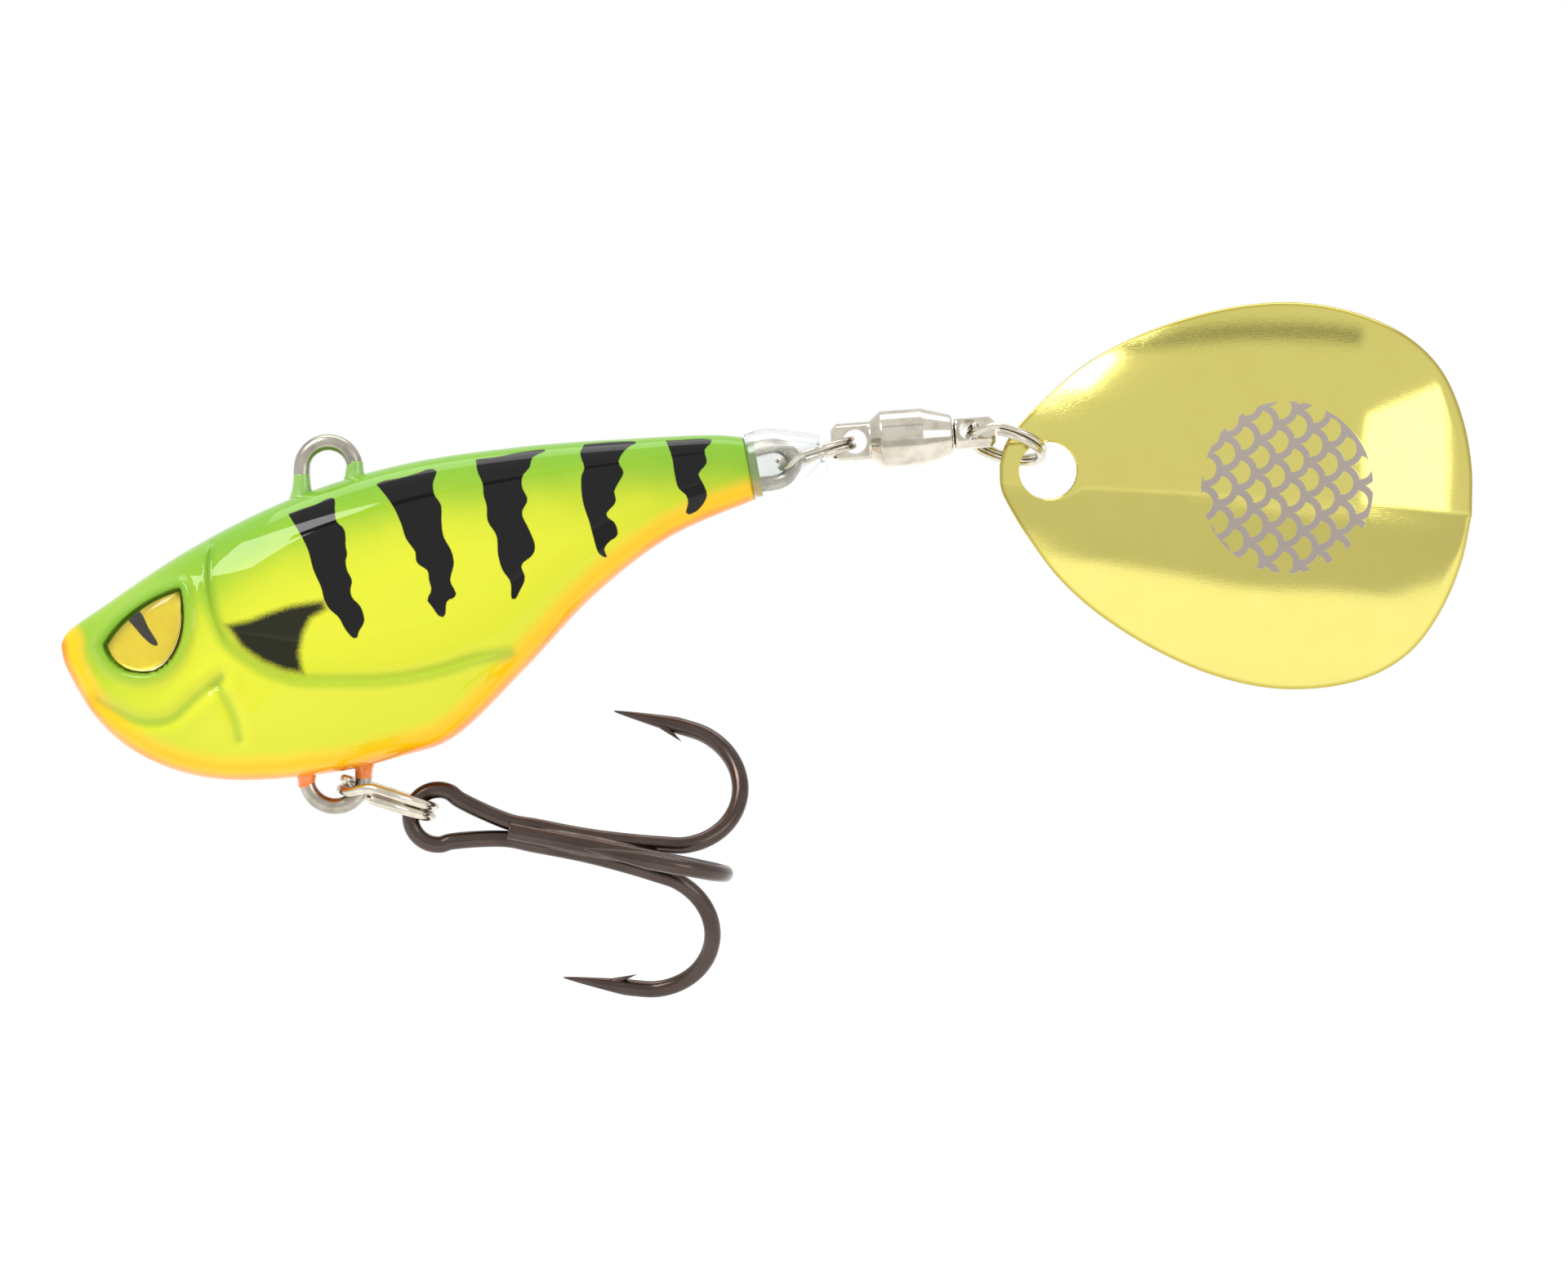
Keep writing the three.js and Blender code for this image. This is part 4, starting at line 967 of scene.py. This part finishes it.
# %% [markdown]
# The blade is a thin dished sheet, plated gold and polished. Rays from the hole reach
# every part of its outline, so its mesh is rings that grow from the hole to the edge. That
# leaves no seam or fan to spoil the reflections. A round patch of plain fish scales is
# etched on its near face.

# %% The blade's outline and dish
BLADE_HOLE_AT, BLADE_DROP = np.array([44.05, 0, -0.1]), 5.9
BLADE_LENGTH, BLADE_HALF_WIDTH, BLADE_TIP, BLADE_HOLE = 29.1, 11.85, 2.95, 1.75
BLADE_THICKNESS, BLADE_DEPTH = 0.65, 3.2
BLADE_OUTLINE = [(-1, 0), (-0.92, 0.12), (-0.62, 0.24), (-0.25, 0.357), (0.45, 0.545), (1.35, 0.71),
                 (2.7, 0.875), (4.0, 0.972), (5.2, 1), (6.4, 0.955), (7.3, 0.86), (7.95, 0.72),
                 (8.45, 0.5), (8.75, 0.25), (8.86, 0)]
reach = (BLADE_LENGTH - BLADE_TIP) / BLADE_OUTLINE[-1][0]
half_points = [(a * (BLADE_TIP if a < 0 else reach), s * BLADE_HALF_WIDTH, 0)
               for a, s in BLADE_OUTLINE]
half_edge = smooth_line(half_points, 150)[:, :2]
half_edge[[0, -1], 1] = 0
edge = np.vstack([half_edge, half_edge[1:-1][::-1] * (1, -1)])
dish_middle = np.array([5 * reach, 0.0])
edge_angle = np.arctan2(*(edge - dish_middle).T[::-1])
order = np.argsort(edge_angle)
edge_reach = np.linalg.norm(edge - dish_middle, axis=1)


def dish_height(spots):
    out = spots - dish_middle
    angle = np.arctan2(out[:, 1], out[:, 0])
    limit = np.interp(angle, edge_angle[order], edge_reach[order], period=2 * math.pi)
    return BLADE_DEPTH * (1 - np.clip(np.linalg.norm(out, axis=1) / limit, 0, 1) ** 2)


# %% Build the blade
hole_edge = BLADE_HOLE * edge / np.linalg.norm(edge, axis=1)[:, None]
at_hole = float(dish_height(np.array([[0.0, 0.0]]))[0])
blade_rings = []
spread = np.concatenate([[0.0, 0.006], np.linspace(0.02, 0.98, 70), [0.994, 1.0]])
for face, shares in ((-1, spread), (1, spread[::-1])):
    for share in shares:
        spots = hole_edge + (edge - hole_edge) * share
        near_rim = min(share, 1 - share)
        half = BLADE_THICKNESS / 2 * (1 if near_rim > 0.01 else 0.72 + 28 * near_rim)
        height = at_hole - dish_height(spots) + face * half
        blade_rings.append(np.stack([spots[:, 0], height, spots[:, 1]], axis=1))
blade_points, blade_faces = skin(blade_rings, closed=True)
c, s = math.cos(math.radians(BLADE_DROP)), math.sin(math.radians(BLADE_DROP))
along, height, across = blade_points.T
turned = np.stack([along * c + across * s, height, -along * s + across * c], axis=1) + BLADE_HOLE_AT
blade = face_outwards(make_piece("gold_blade", turned, blade_faces))
carry(blade, "along_blade", blade_points[:, 0])
carry(blade, "across_blade", blade_points[:, 2])
carry(blade, "to_blade_edge", signed_distance(blade_points[:, [0, 2]], edge))
near_face = np.concatenate([np.full(len(edge) * len(spread), f) for f in (1.0, 0.0)])
carry(blade, "near_face", near_face)
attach(blade, "blade")
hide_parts("spinner_blade")
print("blade:", len(blade_points), "points")

# %% Gold plate with an etched patch of scales
ETCH_AT, ETCH_RADIUS, SCALE = (14.6, 0.45), 5.3, 2.1
plate = Finish("gold_plate")
x, z = plate.attribute("along_blade"), plate.attribute("across_blade")


def in_tile(value):
    """Where value falls in its own tile, from half a scale below 0 to half above."""
    whole = plate.node("ShaderNodeMath", {"operation": "FRACT"}, {0: value / SCALE + 40.0})
    return (whole - 0.5) * SCALE


def scale_edges(shift):
    """The rounded rear edges of one lattice of scales."""
    u, v = in_tile(x + shift), in_tile(z + shift)
    far = plate.node("ShaderNodeMath", {"operation": "SQRT"}, {0: u * u + v * v})
    off = plate.node("ShaderNodeMath", {"operation": "ABSOLUTE"}, {0: far - SCALE / 2 + 0.12})
    behind = plate.node("ShaderNodeMath", {"operation": "GREATER_THAN"}, {0: u, 1: 0.0})
    return plate.fade(off, 0.25, 0.18) * behind


scales = plate.node("ShaderNodeMath", {"operation": "MAXIMUM"},
                    {0: scale_edges(0.0), 1: scale_edges(SCALE / 2)})
dx, dz = x - ETCH_AT[0], z - ETCH_AT[1]
from_middle = plate.node("ShaderNodeMath", {"operation": "SQRT"}, {0: dx * dx + dz * dz})
within = plate.fade(from_middle, ETCH_RADIUS, ETCH_RADIUS - 0.08)
within = within * plate.attribute("near_face")
etched = scales * within
rubbed = plate.noise(0.5, 4.0)
shine = plate.mix(rubbed * 0.5, colour(214, 204, 116), colour(202, 190, 98))
# The darker gold along the blade's edge is painted shade on the rolled rim.
painted_rim_shade = plate.fade(plate.attribute("to_blade_edge"), -0.3, -0.05) * 0.6
shine = plate.mix(painted_rim_shade, shine, colour(150, 128, 36))
hairlines = plate.noise(10.0, 2.0, (0.15, 1.0, 2.5))
plate.set(Base_Color=plate.mix(etched, shine, colour(150, 140, 132)), Metallic=1.0 - etched * 0.55,
          Roughness=hairlines * 0.05 + rubbed * 0.03 + etched * 0.45 + 0.05,
          Normal=plate.bump(hairlines + etched * 2.0, 0.003, 0.5))
blade.data.materials.append(plate.material)

# %% [markdown]
# The treble is two wires: one is bent into an eye and two hooks, and the third hook is
# brazed on beside them. Solder fills the grooves between the three shanks. Each point
# tapers to a needle, and a small barb leans back from its inside.

# %% Hook lines
HOOK_WIRE, SHANK_OFFSET, SHANK_FLARE, BEND_AT, BEND_RADIUS = 1.04, 0.62, 0.43, 13.7, 4.2
POINT_AT, TAPER_AT, POINT_RADIUS = 9.3, 13.2, 0.03
TREBLE_EYE, TREBLE_DROP, TREBLE_EYE_BEND = np.array([6.72, 0, -21.33]), 10.8, 1.68
BARB_AT, BARB_LENGTH, BARB_RADIUS = 12.3, 1.7, 0.26
THIRD_RISE = math.cos(math.radians(30))
UPPER, LOWER = np.array([0, 0.5, THIRD_RISE]), np.array([0, 0.5, -THIRD_RISE])
NEAR = np.array([0, -1.0, 0])
HOOK_MIDDLE = SHANK_OFFSET + SHANK_FLARE + BEND_RADIUS


def hook_line(away):
    def out(ahead, radius):
        return np.array([ahead, radius * away[1], radius * away[2]])

    bend = [out(BEND_AT + BEND_RADIUS * math.cos(t), HOOK_MIDDLE + BEND_RADIUS * math.sin(t))
            for t in np.radians(np.linspace(-90, 90, 10))]
    return [out(9.0, SHANK_OFFSET), out(11.4, SHANK_OFFSET + 0.16), *bend,
            out(11.5, HOOK_MIDDLE + BEND_RADIUS + 0.12), out(POINT_AT, HOOK_MIDDLE + BEND_RADIUS + 0.2)]


def hook_radii(line, *ways):
    radii = np.full(len(line), HOOK_WIRE / 2)
    for away in ways:
        past = (line @ away > BEND_RADIUS) & (line[:, 0] <= TAPER_AT)
        share = np.clip((line[:, 0] - POINT_AT) / (TAPER_AT - POINT_AT), 0, 1)
        taper = POINT_RADIUS + (HOOK_WIRE / 2 - POINT_RADIUS) * share**0.8
        radii = np.where(past, np.minimum(radii, taper), radii)
    return radii


def barb_skin(away):
    inside = SHANK_OFFSET + SHANK_FLARE + 2 * BEND_RADIUS - 0.1
    lean = np.array([0.84, -0.54 * away[1], -0.54 * away[2]])
    base = np.array([BARB_AT, inside * away[1], inside * away[2]])
    share = np.linspace(0, 1, 12)
    line = base + np.outer(share, lean / np.linalg.norm(lean)) * BARB_LENGTH
    return wire_skin(line, BARB_RADIUS * (1 - share) + 0.01, 16)


# %% Build the treble
def shank(ahead, away):
    return np.array([ahead, SHANK_OFFSET * away[1], SHANK_OFFSET * away[2]])


eye_bend = [TREBLE_EYE_BEND * sloped(t) for t in np.linspace(52, 308, 13)]
double_line = smooth_line([*hook_line(UPPER)[::-1], shank(6, UPPER), shank(4.3, UPPER), *eye_bend,
                           shank(4.3, LOWER), shank(6, LOWER), *hook_line(LOWER)], 760)
single_line = smooth_line([(4.4, -SHANK_OFFSET, 0), *hook_line(NEAR)], 300)
lump = np.linspace(0, 1, 60)
solder_line = np.stack([5.0 + 8.6 * lump, np.zeros(60), np.zeros(60)], axis=1)
solder_radii = 0.72 * np.sin(np.pi * np.clip(lump, 0.02, 0.98)) ** 0.28
hang = Matrix.Translation(Vector(TREBLE_EYE * MM)) @ Matrix.Rotation(math.radians(TREBLE_DROP), 4, "Y")
double_wire = wire_skin(double_line, hook_radii(double_line, UPPER, LOWER))
single_wire = wire_skin(single_line, hook_radii(single_line, NEAR))
for name, skins, node, finish in (
        ("double_hook", [double_wire, barb_skin(UPPER), barb_skin(LOWER)], "treble_double_hook",
         BLACK_NICKEL),
        ("single_hook", [single_wire, barb_skin(NEAR)], "treble_single_hook", BLACK_NICKEL),
        ("hook_solder", [wire_skin(solder_line, solder_radii, 32)], None, SOLDER)):
    piece = join_skins(name, skins)
    piece.data.transform(hang)
    piece.data.materials.append(finish)
    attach(piece, "treble")
    if node:
        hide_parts(node)
print("treble built")

# %% [markdown]
# The set is as plain as can be: a pale floor that meets a white surround, and large soft
# lights. The floor glows by the share that its paint takes from the surround's light, so
# the two meet without an edge. It lies low enough for the treble to hang straight down.
# Polished metal shows whatever stands round it, so the lights are big and even.

# %% Floor
FLOOR_GAP, FLOOR_GLOW, FLOOR_RADIUS, FLOOR_SIDES = 1.0, 0.2, 3000, 96
belly_hinge = Vector(hinge_at["belly_ring_pitch"]) / MM
treble_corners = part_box("treble_double_hook")
treble_reach = max((Vector(corner) / MM - belly_hinge).length for corner in treble_corners)
lowest = belly_hinge.z - treble_reach - FLOOR_GAP
turns = np.linspace(0, 2 * math.pi, FLOOR_SIDES, endpoint=False)
floor_edge = [(FLOOR_RADIUS * math.cos(t), FLOOR_RADIUS * math.sin(t), lowest) for t in turns]
floor = make_piece("pale_floor", floor_edge, [tuple(range(FLOOR_SIDES))])
print("floor at", round(lowest, 1), "mm")
card = Finish("pale_card")
card.set(Base_Color=card.mix(card.noise(0.02), (0.81, 0.81, 0.81, 1), (0.79, 0.79, 0.79, 1)),
         Roughness=0.9, Specular_IOR_Level=0.0, Emission_Color=(1, 1, 1, 1),
         Emission_Strength=FLOOR_GLOW)
floor.data.materials.append(card.material)

# %% Lights
world = bpy.data.worlds.new("white_surround")
world.use_nodes = True
surround = world.node_tree.nodes["Background"]
surround.inputs["Color"].default_value = (1, 1, 1, 1)
surround.inputs["Strength"].default_value = 1.0
scene.world = world


LURE_MIDDLE = Vector((0.028, 0, -0.01))


def facing_lure(place):
    return (LURE_MIDDLE - Vector(place)).to_track_quat("-Z", "Y").to_euler()


def softbox(name, place, wide, high, power):
    data = bpy.data.lights.new(name, "AREA")
    data.shape, data.size, data.size_y, data.energy = "RECTANGLE", wide, high, power
    lamp = bpy.data.objects.new(name, data)
    scene.collection.objects.link(lamp)
    lamp.location = place
    lamp.rotation_euler = facing_lure(place)


softbox("key", (-0.35, -0.35, 0.55), 0.4, 0.3, 3.4)
softbox("fill", (0.6, -0.6, 0.1), 0.4, 0.5, 1.3)
softbox("top", (0.05, 0.15, 0.6), 0.7, 0.3, 1.5)


def board(name, place, wide, high, finish, lying=False):
    """A board for metal and gloss to mirror; the camera doesn't see it and it casts no shadow."""
    corners = [(x * wide / 2, y * high / 2, 0) for x, y in ((-1, -1), (1, -1), (1, 1), (-1, 1))]
    made = make_piece(name, corners, [(0, 1, 2, 3)])
    made.location = place
    if not lying:
        made.rotation_euler = facing_lure(place)
    made.data.materials.append(finish)
    made.visible_camera = made.visible_shadow = False


def plain_card(name, light, dark):
    finish = Finish(name)
    greys = [(grey, grey, grey, 1) for grey in (light, dark)]
    finish.set(Base_Color=finish.mix(finish.noise(0.05), *greys), Roughness=0.95)
    return finish.material


board("high_board", (0.03, -0.4, 0.5), 500, 50, plain_card("grey_felt", 0.38, 0.33))
low_place = (0.03, -0.29, lowest * MM + 0.001)
board("low_board", low_place, 900, 440, plain_card("grey_card", 0.5, 0.46), lying=True)
print("three lights and two boards set")
